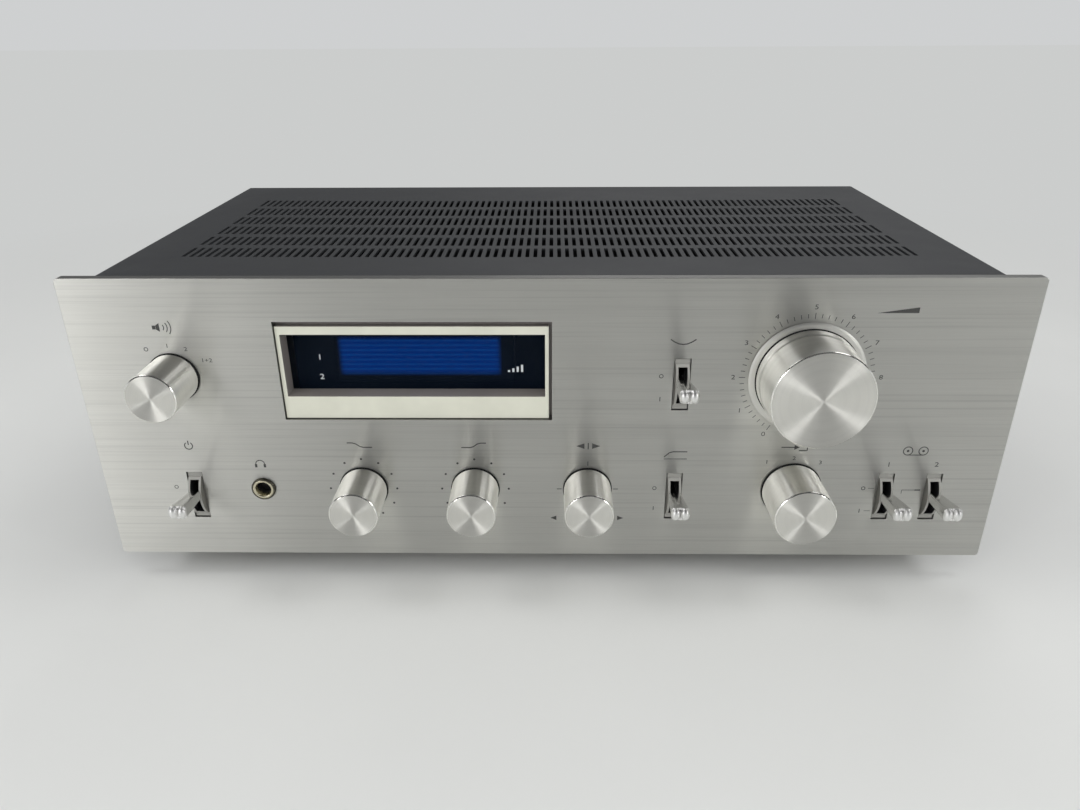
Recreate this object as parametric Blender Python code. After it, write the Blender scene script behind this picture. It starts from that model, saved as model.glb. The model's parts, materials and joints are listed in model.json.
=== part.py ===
# Integrated amplifier, as the pieces that it comes apart into.
# Lengths are in metres. X runs to the right, Y to the back and Z up, and the feet stand on Z = 0.
# Heights of what the front panel carries are measured from its lower edge, and depths back from its face.

import math

import bmesh
import bpy
from mathutils import Matrix, Vector

for old in list(bpy.data.objects):
    bpy.data.objects.remove(old)

# Clearances
fit_gap = 0.0003
running_gap = 0.0005
overrun = 0.002

# Front panel
panel_width = 0.380
panel_height = 0.1264
panel_thickness = 0.004
panel_corner = 0.0025
ground_clearance = 0.0116

# Sheet metal behind it
sheet = 0.001
cover_width = 0.354
cover_depth = 0.1865
cover_bend = 0.002
pan_rise = 0.003
pan_flange = 0.018
rear_inset = 0.0025
sub_panel_depth = 0.0205

# Slots in the cover
slot_rows = 6
slots_in_row = 36
slot_length = 0.015
slot_row_pitch = 0.02046
slot_row_width = 0.309
slot_open_share = 0.48
last_slot_row_depth = 0.1426

# Slots in the pan
vent_rows = 2
vents_in_row = 9
vent_length = 0.022
vent_width = 0.004
vent_pitch = 0.012
vent_row_pitch = 0.030

# Feet
foot_top_radius = 0.0145
foot_base_radius = 0.0165
foot_edge = 0.0015
foot_well_radius = 0.006
foot_well_depth = 0.008
foot_side_inset = 0.042
foot_front_depth = 0.036
foot_rear_inset = 0.032

# Rows and columns of the controls
lower_row = 0.0335
upper_row = 0.0854
lever_row = 0.030
loudness_row = 0.0821
speakers_x = -0.1508
phones_x = -0.1218
bass_x = -0.0786
tone_pitch = 0.0479
loudness_x = 0.0541
volume_x = 0.1039
tape_x = 0.1434
tape_pitch = 0.0201

# Knobs
knob_gap = 0.0009
knob_rim = 0.0007
knob_collar = 0.004
knob_groove = 0.0003
knob_collar_step = 0.0001
small_knob_radius = 0.0099
small_knob_reach = 0.022
function_knob_radius = 0.0123
function_knob_reach = 0.023
volume_knob_radius = 0.0199
volume_knob_reach = 0.0233
volume_collar_step = 0.0006
volume_knob_gap = 0.0014
knob_bore_depth = 0.014

# Ring round the volume knob
ring_radius = 0.0234
ring_bore_radius = 0.0190
ring_rise = 0.0006
ring_edge = 0.0001
ring_slope = 0.0011

# Control shafts, and the bushings that carry them
shaft_radius = 0.003
shaft_flat = 0.0016
shaft_chamfer = 0.0004
shaft_hole_gap = 0.0012
bushing_radius = 0.0045
bushing_reach = 0.005
shaft_seat = 0.006
tone_pot_radius = 0.0085
tone_pot_length = 0.012
volume_pot_radius = 0.012
volume_pot_length = 0.022
selector_radius = 0.013
selector_length = 0.020
wafer_thickness = 0.0016
wafer_neck_radius = 0.006

# Lever switches
lever_pivot_depth = 0.0098
lever_tilt = math.radians(7.5)
lever_reach = 0.022
lever_root_width = 0.0052
lever_tip_width = 0.0075
lever_root_thickness = 0.0042
lever_tip_thickness = 0.0055
lever_dome = 0.0018
lever_lift = 0.0006
lever_grip = 0.003
tab_width = 0.002
tab_thickness = 0.0016
hub_radius = 0.0019
pin_radius = 0.001
pin_length = 0.0066
switch_window_width = 0.0068
switch_window_height = 0.0226
plate_setback = 0.0007
arch_rise = 0.0035
arch_half_height = 0.009
arch_width = 0.0056
slot_width = 0.0036
slot_height = 0.0158
switch_body_width = 0.009
switch_body_height = 0.024
switch_pocket_depth = 0.0125

# Headphone jack
jack_nut_radius = 0.0051
jack_nut_reach = 0.0013
jack_nut_edge = 0.0004
jack_thread_radius = 0.0042
jack_bore_radius = 0.00325
jack_bore_depth = 0.0155
jack_body_width = 0.012
jack_body_height = 0.014

# Display
display_x = -0.05295
display_row = 0.0875
display_width = 0.1101
display_height = 0.0426
bezel_setback = 0.0012
bezel_depth = 0.0095
bezel_left_border = 0.002
bezel_right_border = 0.0028
bezel_top_border = 0.0058
bezel_top_rebate = 0.002
bezel_right_rebate = 0.001
bezel_lip = 0.01
bezel_flange = 0.0015
bezel_flange_thickness = 0.0018
window_thickness = 0.002
window_overlap = 0.0035
tube_width = 0.074
tube_height = 0.024
tube_left = 0.0185
tube_edge = 0.0012
board_thickness = 0.0016
display_board_width = 0.106
display_board_height = 0.036

# Inside the chassis
post_radius = 0.0035
post_height = 0.008
post_columns = 3
post_rows = 2
main_board_width = 0.228
main_board_length = 0.052
main_board_x = 0.049
main_board_clearance = 0.005
post_inset = 0.008
tone_board_margin = 0.012
tone_board_height = 0.044
transformer_x = -0.122
transformer_clearance = 0.039
core_width = 0.078
core_length = 0.050
core_height = 0.066
coil_width = 0.050
coil_length = 0.072
coil_height = 0.044
coil_corner = 0.0073
frame_width = 0.096
frame_length = 0.030
frame_thickness = 0.002
sink_x = 0.020
sink_width = 0.150
sink_height = 0.072
sink_base = 0.005
sink_fin_length = 0.030
sink_fin_thickness = 0.002
sink_fins = 14
module_width = 0.056
module_height = 0.030
module_thickness = 0.008
module_spread = 0.074
module_lift = 0.022
module_clearance = 0.0057
capacitor_radius = 0.0175
capacitor_height = 0.062
capacitor_edge = 0.001
capacitor_groove = 0.001
capacitor_groove_height = 0.005
capacitor_x = -0.026
capacitor_pitch = 0.039
part_sink = 0.0004
relay_width = 0.022
relay_length = 0.028
relay_height = 0.020
relay_x = 0.140
can_radius = 0.0055
can_height = 0.016
can_pitch = 0.018
cans = 3
cans_x = 0.068

# Rear
jack_block_x = 0.084
jack_block_height = 0.056
jack_columns = 7
jack_pitch = 0.0155
jack_row_pitch = 0.018
jack_board_margin = 0.006
jack_board_thickness = 0.002
phono_sleeve_radius = 0.0041
phono_sleeve_reach = 0.0095
phono_hole_radius = 0.0016
phono_hole_depth = 0.006
phono_base_radius = 0.0055
phono_base_reach = 0.0015
speaker_block_x = -0.060
speaker_block_height = 0.062
speaker_columns = 4
speaker_pitch = 0.022
speaker_row_pitch = 0.020
speaker_block_margin = 0.004
speaker_block_reach = 0.009
speaker_block_sunk = 0.006
speaker_well_radius = 0.0075
speaker_well_depth = 0.005
speaker_screw_radius = 0.004
speaker_screw_height = 0.0035
ground_x = 0.156
ground_height = 0.062
ground_post_radius = 0.0025
ground_nut_radius = 0.005
ground_nut_edge = 0.0007
ground_reach = 0.0105
ground_collar = 0.0025
ground_tail = 0.006
gland_x = -0.150
gland_height = 0.026
gland_flange_radius = 0.0085
gland_flange = 0.003
gland_neck_radius = 0.006
gland_bore_radius = 0.0035
gland_tail = 0.005

# Round pieces
fine_steps = 36
knob_steps = 24
plain_steps = 16
coarse_steps = 12
small_steps = 8
corner_steps = 4
sharp_angle = math.radians(35)

# What follows from the sizes above
foot_height = ground_clearance + pan_rise - fit_gap
pan_floor = pan_rise + sheet
rear_face = cover_depth - rear_inset
rear_inner = rear_face - sheet
foot_rear_depth = rear_face - foot_rear_inset
behind_panel = panel_thickness + fit_gap
sub_panel_back = sub_panel_depth + sheet
cover_inside = cover_width / 2 - sheet
pan_outside = cover_inside - fit_gap
pan_inside = pan_outside - sheet
under_cover = panel_height - sheet - fit_gap
function_x = volume_x
arch_radius = lever_pivot_depth + arch_rise
main_board_depth = rear_inner - main_board_clearance - main_board_length / 2
main_board_front = main_board_depth - main_board_length / 2
sink_back_depth = main_board_front - module_clearance - module_thickness - fit_gap
transformer_depth = rear_inner - transformer_clearance - coil_length / 2
board_underside = pan_floor + post_height + fit_gap
board_top = board_underside + board_thickness
rear_reach = rear_face + max(ground_reach, phono_sleeve_reach, speaker_block_reach)
front_y = (volume_knob_reach - rear_reach) / 2

bezel_left = display_x - display_width / 2 + bezel_left_border
bezel_right = display_x + display_width / 2 - bezel_right_border
bezel_low = display_row - display_height / 2 + bezel_lip
bezel_high = display_row + display_height / 2 - bezel_top_border

controls = {
    "speakers": (speakers_x, upper_row, small_knob_radius, small_knob_reach),
    "bass": (bass_x, lower_row, small_knob_radius, small_knob_reach),
    "treble": (bass_x + tone_pitch, lower_row, small_knob_radius, small_knob_reach),
    "balance": (bass_x + 2 * tone_pitch, lower_row, small_knob_radius, small_knob_reach),
    "function": (function_x, lower_row, function_knob_radius, function_knob_reach),
    "volume": (volume_x, upper_row, volume_knob_radius, volume_knob_reach),
}

levers = {
    "power": (speakers_x, lever_row),
    "loudness": (loudness_x, loudness_row),
    "subsonic": (loudness_x, lever_row),
    "tape_1": (tape_x, lever_row),
    "tape_2": (tape_x + tape_pitch, lever_row),
}

# Half outline of a lever's two-lobed section, as shares of its half width and half thickness
lobe_shares = ((1.0, 0.0), (0.82, 0.85), (0.4, 1.0), (0.0, 0.62))

# Rounding of a lever's tip, as shares of its dome's length, its width and its thickness
dome_shares = ((0.0, 1.0, 1.0), (0.6, 0.88, 0.8), (1.0, 0.66, 0.45))


def place(x, depth, height):
    return Vector((x, front_y + depth, ground_clearance + height))


def mesh_from(shape, name):
    bmesh.ops.remove_doubles(shape, verts=shape.verts, dist=fit_gap / 100)
    bmesh.ops.recalc_face_normals(shape, faces=shape.faces)
    mesh = bpy.data.meshes.new(name)
    shape.to_mesh(mesh)
    shape.free()
    return mesh


def box(low, high):
    shape = bmesh.new()
    bmesh.ops.create_cube(shape, size=1)
    low, high = Vector(low), Vector(high)
    bmesh.ops.scale(shape, vec=high - low, verts=shape.verts)
    bmesh.ops.translate(shape, vec=(low + high) / 2, verts=shape.verts)
    return mesh_from(shape, "box")


def prism(outline, axis, start, end):
    # A flat outline drawn on the two other axes and pulled along this one
    shape = bmesh.new()
    corners = []
    for first, second in outline:
        point = [first, second]
        point.insert("XYZ".index(axis), start)
        corners.append(shape.verts.new(point))
    face = shape.faces.new(corners)
    pulled = bmesh.ops.extrude_face_region(shape, geom=[face])
    moved = [item for item in pulled["geom"] if isinstance(item, bmesh.types.BMVert)]
    way = Vector((0, 0, 0))
    way["XYZ".index(axis)] = end - start
    bmesh.ops.translate(shape, vec=way, verts=moved)
    return mesh_from(shape, "prism")


def turned(profile, steps, axis="Y"):
    # A profile of radius and place along the axis, spun round it
    shape = bmesh.new()
    points = [shape.verts.new((radius, along, 0)) for radius, along in profile]
    edges = [shape.edges.new(pair) for pair in zip(points, points[1:])]
    bmesh.ops.spin(
        shape, geom=points + edges, cent=(0, 0, 0), axis=(0, 1, 0),
        angle=math.tau, steps=steps, use_merge=True,
    )
    if axis == "Z":
        shape.transform(Matrix.Rotation(math.pi / 2, 4, "X"))
    if axis == "X":
        shape.transform(Matrix.Rotation(-math.pi / 2, 4, "Z"))
    return mesh_from(shape, "turned")


def rod(radius, start, end, steps, axis="Y"):
    return turned(((0, start), (radius, start), (radius, end), (0, end)), steps, axis)


def loft(rings):
    shape = bmesh.new()
    loops = [[shape.verts.new(point) for point in ring] for ring in rings]
    for near, far in zip(loops, loops[1:]):
        for index in range(len(near)):
            after = (index + 1) % len(near)
            shape.faces.new((near[index], near[after], far[after], far[index]))
    shape.faces.new(loops[0])
    shape.faces.new(loops[-1])
    return mesh_from(shape, "loft")


def moved(mesh, *places):
    # One mesh with a copy of the first at each place
    shape = bmesh.new()
    for where in places:
        before = set(shape.verts)
        shape.from_mesh(mesh)
        fresh = [vert for vert in shape.verts if vert not in before]
        bmesh.ops.translate(shape, vec=where, verts=fresh)
    return mesh_from(shape, "moved")


def carved(base, joined=(), removed=()):
    # The base with solids joined to it and others cut away
    body = bpy.data.objects.new("body", base)
    bpy.context.scene.collection.objects.link(body)
    tools = []
    for operation, meshes in (("UNION", joined), ("DIFFERENCE", removed)):
        for mesh in meshes:
            tool = bpy.data.objects.new("tool", mesh)
            bpy.context.scene.collection.objects.link(tool)
            step = body.modifiers.new("step", "BOOLEAN")
            step.operation = operation
            step.object = tool
            tools.append(tool)
    view = bpy.context.evaluated_depsgraph_get()
    mesh = bpy.data.meshes.new_from_object(body.evaluated_get(view))
    for item in tools + [body]:
        bpy.data.objects.remove(item)
    return mesh


def rounded(width, height, radius, middle=(0, 0)):
    outline = []
    for quarter, (side, rise) in enumerate(((1, 1), (-1, 1), (-1, -1), (1, -1))):
        centre = (middle[0] + side * (width / 2 - radius), middle[1] + rise * (height / 2 - radius))
        for step in range(corner_steps + 1):
            angle = (quarter + step / corner_steps) * math.pi / 2
            outline.append((centre[0] + radius * math.cos(angle), centre[1] + radius * math.sin(angle)))
    return outline


def finish(name, colour, roughness, metallic):
    material = bpy.data.materials.new(name)
    material.use_nodes = True
    shader = material.node_tree.nodes["Principled BSDF"]
    shader.inputs["Base Color"].default_value = (*colour, 1)
    shader.inputs["Roughness"].default_value = roughness
    shader.inputs["Metallic"].default_value = metallic
    material.diffuse_color = (*colour, 1)
    return material


def piece(name, mesh, material, where=(0, 0, 0), parent=None, smooth=False):
    item = bpy.data.objects.new(name, mesh.copy())
    item.data.name = name
    item.data.materials.clear()
    item.data.materials.append(material)
    if smooth:
        item.data.shade_smooth()
        item.data.set_sharp_from_angle(angle=sharp_angle)
    item.location = where
    item.parent = parent
    bpy.context.scene.collection.objects.link(item)
    return item


def axle(name, where):
    empty = bpy.data.objects.new(name, None)
    empty.empty_display_size = shaft_radius
    empty.location = where
    bpy.context.scene.collection.objects.link(empty)
    return empty


def grid(counts, steps):
    # Places of a pattern that is centred on the origin
    places = []
    for row in range(counts[1]):
        for column in range(counts[0]):
            across = (column - (counts[0] - 1) / 2) * steps[0]
            along = (row - (counts[1] - 1) / 2) * steps[1]
            places.append((across, along))
    return places


def make_front_panel():
    outline = rounded(panel_width, panel_height, panel_corner, (0, panel_height / 2))
    plate = prism(outline, "Y", 0, panel_thickness)
    through = (-overrun, panel_thickness + overrun)
    cuts = [
        box(
            (display_x - display_width / 2, through[0], display_row - display_height / 2),
            (display_x + display_width / 2, through[1], display_row + display_height / 2),
        )
    ]
    for x, height in levers.values():
        cuts.append(
            box(
                (x - switch_window_width / 2, through[0], height - switch_window_height / 2),
                (x + switch_window_width / 2, through[1], height + switch_window_height / 2),
            )
        )
    hole = rod(shaft_radius + shaft_hole_gap, *through, small_steps)
    cuts += [moved(hole, (x, 0, height)) for x, height, _, _ in controls.values()]
    thread = rod(jack_thread_radius + fit_gap, *through, plain_steps)
    cuts.append(moved(thread, (phones_x, 0, lower_row)))
    piece("front_panel", carved(plate, removed=cuts), aluminium, place(0, 0, 0))


def make_top_cover():
    outer, inner = cover_width / 2, cover_inside
    low, high = pan_rise, panel_height
    centre = (outer - cover_bend, high - cover_bend)
    inner_bend = cover_bend - sheet
    outside, inside = [], []
    for step in range(corner_steps + 1):
        angle = step / corner_steps * math.pi / 2
        side, rise = math.sin(angle), math.cos(angle)
        outside.append((centre[0] + cover_bend * side, centre[1] + cover_bend * rise))
        inside.append((centre[0] + inner_bend * side, centre[1] + inner_bend * rise))
    half = outside + [(outer, low), (inner, low)] + inside[::-1]
    outline = half + [(-x, z) for x, z in half[::-1]]
    shell = prism(outline, "Y", behind_panel, cover_depth)
    pitch = slot_row_width / slots_in_row
    width = pitch * slot_open_share
    slot = box(
        (-width / 2, -slot_length / 2, high - sheet - overrun),
        (width / 2, slot_length / 2, high + overrun),
    )
    middle = last_slot_row_depth - slot_row_pitch * (slot_rows - 1) / 2
    places = [(x, middle + y, 0) for x, y in grid((slots_in_row, slot_rows), (pitch, slot_row_pitch))]
    piece("top_cover", carved(shell, removed=[moved(slot, *places)]), dark_paint, place(0, 0, 0))


def make_chassis_pan():
    top = pan_rise + pan_flange
    outline = [
        (-pan_outside, pan_rise), (pan_outside, pan_rise), (pan_outside, top), (pan_inside, top),
        (pan_inside, pan_floor), (-pan_inside, pan_floor), (-pan_inside, top), (-pan_outside, top),
    ]
    tray = prism(outline, "Y", behind_panel, rear_inner - fit_gap)
    post = rod(post_radius, pan_floor - part_sink, pan_floor + post_height, small_steps, "Z")
    steps = (main_board_width / 2 - post_inset, main_board_length - 2 * post_inset)
    corners = grid((post_columns, post_rows), steps)
    posts = moved(post, *[(main_board_x + x, main_board_depth + y, 0) for x, y in corners])
    vent = box(
        (-vent_width / 2, -vent_length / 2, pan_rise - overrun),
        (vent_width / 2, vent_length / 2, pan_floor + overrun),
    )
    middle = sink_back_depth - (sink_base + sink_fin_length) / 2
    steps = (vent_pitch, vent_row_pitch)
    vents = moved(vent, *[(sink_x + x, middle + y, 0) for x, y in grid((vents_in_row, vent_rows), steps)])
    piece("chassis_pan", carved(tray, joined=[posts], removed=[vents]), zinc, place(0, 0, 0))


def make_rear_panel():
    plate = box((-pan_outside, rear_inner, pan_rise), (pan_outside, rear_face, under_cover))
    through = (rear_inner - overrun, rear_face + overrun)
    jack_hole = rod(phono_base_radius + fit_gap, *through, small_steps)
    places = [
        (jack_block_x + x, 0, jack_block_height + z)
        for x, z in grid((jack_columns, 2), (jack_pitch, jack_row_pitch))
    ]
    across, rise = [half + fit_gap for half in speaker_block_half()]
    cuts = [
        moved(jack_hole, *places),
        box(
            (speaker_block_x - across, through[0], speaker_block_height - rise),
            (speaker_block_x + across, through[1], speaker_block_height + rise),
        ),
        moved(rod(ground_post_radius + fit_gap, *through, coarse_steps), (ground_x, 0, ground_height)),
        moved(rod(gland_neck_radius + fit_gap, *through, plain_steps), (gland_x, 0, gland_height)),
    ]
    piece("rear_panel", carved(plate, removed=cuts), dark_paint, place(0, 0, 0))


def make_sub_panel():
    half = pan_inside - fit_gap
    low, high = pan_floor + fit_gap, under_cover
    front = behind_panel
    outline = [
        (front, low), (sub_panel_back, low), (sub_panel_back, high), (front, high),
        (front, high - sheet), (sub_panel_depth, high - sheet),
        (sub_panel_depth, low + sheet), (front, low + sheet),
    ]
    channel = prism(outline, "X", -half, half)
    hole = rod(bushing_radius + fit_gap, sub_panel_depth - overrun, sub_panel_back + overrun, coarse_steps)
    holes = moved(hole, *[(x, 0, height) for x, height, _, _ in controls.values()])
    piece("sub_panel", carved(channel, removed=[holes]), zinc, place(0, 0, 0))


def make_feet():
    profile = (
        (0, foot_well_depth), (foot_well_radius, foot_well_depth), (foot_well_radius, 0),
        (foot_base_radius - foot_edge, 0), (foot_base_radius, foot_edge),
        (foot_top_radius, foot_height), (0, foot_height),
    )
    foot = turned(profile, plain_steps, "Z")
    side = cover_width / 2 - foot_side_inset
    for end, depth in (("front", foot_front_depth), ("rear", foot_rear_depth)):
        for hand, x in (("left", -side), ("right", side)):
            where = place(x, depth, 0)
            where.z = 0
            piece(f"foot_{end}_{hand}", foot, rubber, where, smooth=True)


def make_display():
    half_width = display_width / 2 - fit_gap
    half_height = display_height / 2 - fit_gap
    frame = box(
        (display_x - half_width, bezel_setback, display_row - half_height),
        (
            display_x + half_width - bezel_right_rebate, bezel_depth,
            display_row + half_height - bezel_top_rebate,
        ),
    )
    outer_width, outer_height = half_width + bezel_flange, half_height + bezel_flange
    flange_back = behind_panel + bezel_flange_thickness
    flange = box(
        (display_x - outer_width, behind_panel, display_row - outer_height),
        (display_x + outer_width, flange_back, display_row + outer_height),
    )
    opening = box(
        (bezel_left, bezel_setback - overrun, bezel_low),
        (bezel_right, bezel_depth + overrun, bezel_high),
    )
    piece("display_bezel", carved(frame, joined=[flange], removed=[opening]), cream_plastic, place(0, 0, 0))

    window_front = bezel_depth + fit_gap
    window_back = window_front + window_thickness
    glass_pane = box(
        (bezel_left - window_overlap / 2, window_front, bezel_low - window_overlap),
        (bezel_right + window_overlap / 2, window_back, bezel_high + window_overlap),
    )
    piece("display_window", glass_pane, smoked_glass, place(0, 0, 0))

    board_front = sub_panel_depth - fit_gap - board_thickness
    tube_front = window_back + fit_gap
    tube_back = board_front - fit_gap
    tube_low = (bezel_low + bezel_high - tube_height) / 2
    left = bezel_left + tube_left
    profile = [
        (tube_front + tube_edge, tube_low), (tube_back, tube_low), (tube_back, tube_low + tube_height),
        (tube_front + tube_edge, tube_low + tube_height),
        (tube_front, tube_low + tube_height - tube_edge), (tube_front, tube_low + tube_edge),
    ]
    piece("display_tube", prism(profile, "X", left, left + tube_width), blue_glass, place(0, 0, 0))

    middle = (bezel_left + bezel_right) / 2
    board_back = board_front + board_thickness
    board = box(
        (middle - display_board_width / 2, board_front, display_row - display_board_height / 2),
        (middle + display_board_width / 2, board_back, display_row + display_board_height / 2),
    )
    piece("display_board", board, circuit_board, place(0, 0, 0))


def make_knob(radius, reach, collar_step, gap, steps):
    collar = radius + collar_step
    shoulder = -gap - knob_collar
    profile = (
        (0, -gap), (collar, -gap), (collar, shoulder), (radius - knob_groove, shoulder - knob_groove),
        (radius, shoulder - 2 * knob_groove), (radius, -reach + knob_rim),
        (radius - knob_rim, -reach), (0, -reach),
    )
    bore_end = -knob_gap - knob_bore_depth
    bore = d_rod(shaft_radius + fit_gap, shaft_flat + fit_gap, bore_end, -gap + overrun)
    return carved(turned(profile, steps), removed=[bore])


def d_rod(radius, flat, start, end):
    # A round rod with one flat side, which faces down
    turn = math.acos(flat / radius)
    outline = []
    for step in range(coarse_steps + 1):
        angle = -math.pi / 2 + turn + step / coarse_steps * (math.tau - 2 * turn)
        outline.append((radius * math.cos(angle), radius * math.sin(angle)))
    return prism(outline, "Y", start, end)


def make_shaft(seat):
    tip = -knob_gap - knob_bore_depth + fit_gap
    profile = (
        (0, seat), (shaft_radius, seat), (shaft_radius, tip + shaft_chamfer),
        (shaft_radius - shaft_chamfer, tip), (0, tip),
    )
    flat = box(
        (-shaft_radius - overrun, tip - overrun, -shaft_radius - overrun),
        (shaft_radius + overrun, -knob_gap + overrun, -shaft_flat),
    )
    return carved(turned(profile, coarse_steps), removed=[flat])


def make_pot(case, seat, steps):
    # The bushing passes through the sub panel and the case sits behind it
    bore = shaft_radius + running_gap
    front = sub_panel_depth - bushing_reach
    face = sub_panel_back + fit_gap
    bushing = [(0, seat), (bore, seat), (bore, front), (bushing_radius, front), (bushing_radius, face)]
    return turned(bushing + case, steps)


def make_controls():
    face = sub_panel_back + fit_gap
    seat = face + shaft_seat
    tone_end = face + tone_pot_length
    volume_end = face + volume_pot_length
    selector_end = face + selector_length
    wafer, end_wafer = face + selector_length / 2 - wafer_thickness, selector_end - wafer_thickness
    tone_case = [(tone_pot_radius, face), (tone_pot_radius, tone_end), (0, tone_end)]
    volume_case = [(volume_pot_radius, face), (volume_pot_radius, volume_end), (0, volume_end)]
    selector_case = [
        (selector_radius, face), (selector_radius, wafer), (wafer_neck_radius, wafer),
        (wafer_neck_radius, end_wafer), (selector_radius, end_wafer),
        (selector_radius, selector_end), (0, selector_end),
    ]
    cases = {
        "speakers": ("speaker_selector", selector_case, coarse_steps),
        "bass": ("bass_pot", tone_case, coarse_steps),
        "treble": ("treble_pot", tone_case, coarse_steps),
        "balance": ("balance_pot", tone_case, coarse_steps),
        "function": ("function_selector", selector_case, coarse_steps),
        "volume": ("volume_pot", volume_case, plain_steps),
    }
    shaft = make_shaft(seat - fit_gap)
    for name, (x, height, radius, reach) in controls.items():
        if name == "volume":
            knob = make_knob(radius, reach, volume_collar_step, volume_knob_gap, fine_steps)
        else:
            knob = make_knob(radius, reach, knob_collar_step, knob_gap, knob_steps)
        centre = axle(f"{name}_axis", place(x, 0, height))
        piece(f"{name}_knob", knob, aluminium, parent=centre, smooth=True)
        piece(f"{name}_shaft", shaft, steel, parent=centre, smooth=True)
        case_name, case, steps = cases[name]
        piece(case_name, make_pot(case, seat, steps), zinc, place(x, 0, height), smooth=True)


def make_volume_ring():
    back = -fit_gap
    front = back - ring_rise
    profile = (
        (ring_bore_radius, back), (ring_radius, back), (ring_radius, back - ring_edge),
        (ring_radius - ring_slope, front), (ring_bore_radius, front), (ring_bore_radius, back),
    )
    piece("volume_ring", turned(profile, fine_steps), aluminium, place(volume_x, 0, upper_row), smooth=True)


def lever_ring(distance, width, thickness):
    quarter = [(width / 2 * a, thickness / 2 * b) for a, b in lobe_shares]
    upper = quarter + [(-x, z) for x, z in quarter[-2::-1]]
    outline = upper + [(x, -z) for x, z in upper[-2:0:-1]]
    return [(x, -distance, z) for x, z in outline]


def make_lever():
    # Drawn level, pointing to the front from its pivot
    root = arch_radius + lever_lift
    tip = (lever_reach + lever_pivot_depth) / math.cos(lever_tilt)
    shoulder = tip - lever_dome
    rings = [lever_ring(root, lever_root_width, lever_root_thickness)]
    for along, across, deep in dome_shares:
        distance = shoulder + lever_dome * along
        rings.append(lever_ring(distance, lever_tip_width * across, lever_tip_thickness * deep))
    tab = box(
        (-tab_width / 2, -root - lever_grip, -tab_thickness / 2),
        (tab_width / 2, 0, tab_thickness / 2),
    )
    hub = rod(hub_radius, -tab_width / 2, tab_width / 2, small_steps, "X")
    pin = rod(pin_radius, -pin_length / 2, pin_length / 2, small_steps, "X")
    return carved(loft(rings), joined=[tab, hub, pin])


def make_switch_plate():
    half = switch_window_height / 2 - fit_gap
    back = panel_thickness
    half_turn = math.asin(arch_half_height / arch_radius)
    arch = []
    for step in range(2 * corner_steps + 1):
        angle = -half_turn + step / (2 * corner_steps) * 2 * half_turn
        arch.append((lever_pivot_depth - arch_radius * math.cos(angle), arch_radius * math.sin(angle)))
    middle = (plate_setback + back) / 2
    arch_outline = arch + [(middle, arch_half_height), (middle, -arch_half_height)]
    width = switch_window_width / 2 - fit_gap
    flange = box((-width, plate_setback, -half), (width, back, half))
    bulge = prism(arch_outline, "X", -arch_width / 2, arch_width / 2)
    slot = box(
        (-slot_width / 2, -arch_rise - overrun, -slot_height / 2),
        (slot_width / 2, back + overrun, slot_height / 2),
    )
    return carved(flange, joined=[bulge], removed=[slot])


def make_switch_body():
    half_width, half_height = switch_body_width / 2, switch_body_height / 2
    back = sub_panel_depth - fit_gap
    case = box((-half_width, behind_panel, -half_height), (half_width, back, half_height))
    pocket_width = tab_width / 2 + running_gap
    pocket = box(
        (-pocket_width, behind_panel - overrun, -slot_height / 2),
        (pocket_width, behind_panel + switch_pocket_depth, slot_height / 2),
    )
    seat = rod(pin_radius + fit_gap, -pin_length / 2 - fit_gap, pin_length / 2 + fit_gap, small_steps, "X")
    return carved(case, removed=[pocket, moved(seat, (0, lever_pivot_depth, 0))])


def make_levers():
    lever, plate, body = make_lever(), make_switch_plate(), make_switch_body()
    for name, (x, height) in levers.items():
        centre = axle(f"{name}_pivot", place(x, lever_pivot_depth, height))
        arm = piece(f"{name}_lever", lever, chrome, parent=centre, smooth=True)
        arm.rotation_euler.x = -lever_tilt
        piece(f"{name}_switch_plate", plate, grey_plastic, place(x, 0, height))
        piece(f"{name}_switch_body", body, zinc, place(x, 0, height))


def make_phones_jack():
    nut = (
        (0, -fit_gap), (jack_nut_radius, -fit_gap), (jack_nut_radius, -jack_nut_reach + jack_nut_edge),
        (jack_nut_radius - jack_nut_edge, -jack_nut_reach), (0, -jack_nut_reach),
    )
    thread = rod(jack_thread_radius, -fit_gap - jack_nut_edge, behind_panel + overrun, plain_steps)
    case = box(
        (-jack_body_width / 2, behind_panel, -jack_body_height / 2),
        (jack_body_width / 2, sub_panel_depth - fit_gap, jack_body_height / 2),
    )
    bore = rod(jack_bore_radius, -jack_nut_reach - overrun, jack_bore_depth, plain_steps)
    solid = carved(case, joined=[thread, turned(nut, plain_steps)], removed=[bore])
    piece("phones_jack", solid, brass, place(phones_x, 0, lower_row), smooth=True)


def make_transformer():
    base = pan_floor + fit_gap
    plate = box(
        (-frame_width / 2, -frame_length / 2, base),
        (frame_width / 2, frame_length / 2, base + frame_thickness),
    )
    core_low = base + frame_thickness - part_sink
    core = box(
        (-core_width / 2, -core_length / 2, core_low),
        (core_width / 2, core_length / 2, core_low + core_height),
    )
    coil_low = core_low + (core_height - coil_height) / 2
    coil_outline = rounded(coil_length, coil_height, coil_corner, (0, coil_low + coil_height / 2))
    coil = prism(coil_outline, "X", -coil_width / 2, coil_width / 2)
    solid = carved(core, joined=[plate, coil])
    piece("power_transformer", solid, dark_paint, place(transformer_x, transformer_depth, 0))


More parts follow.
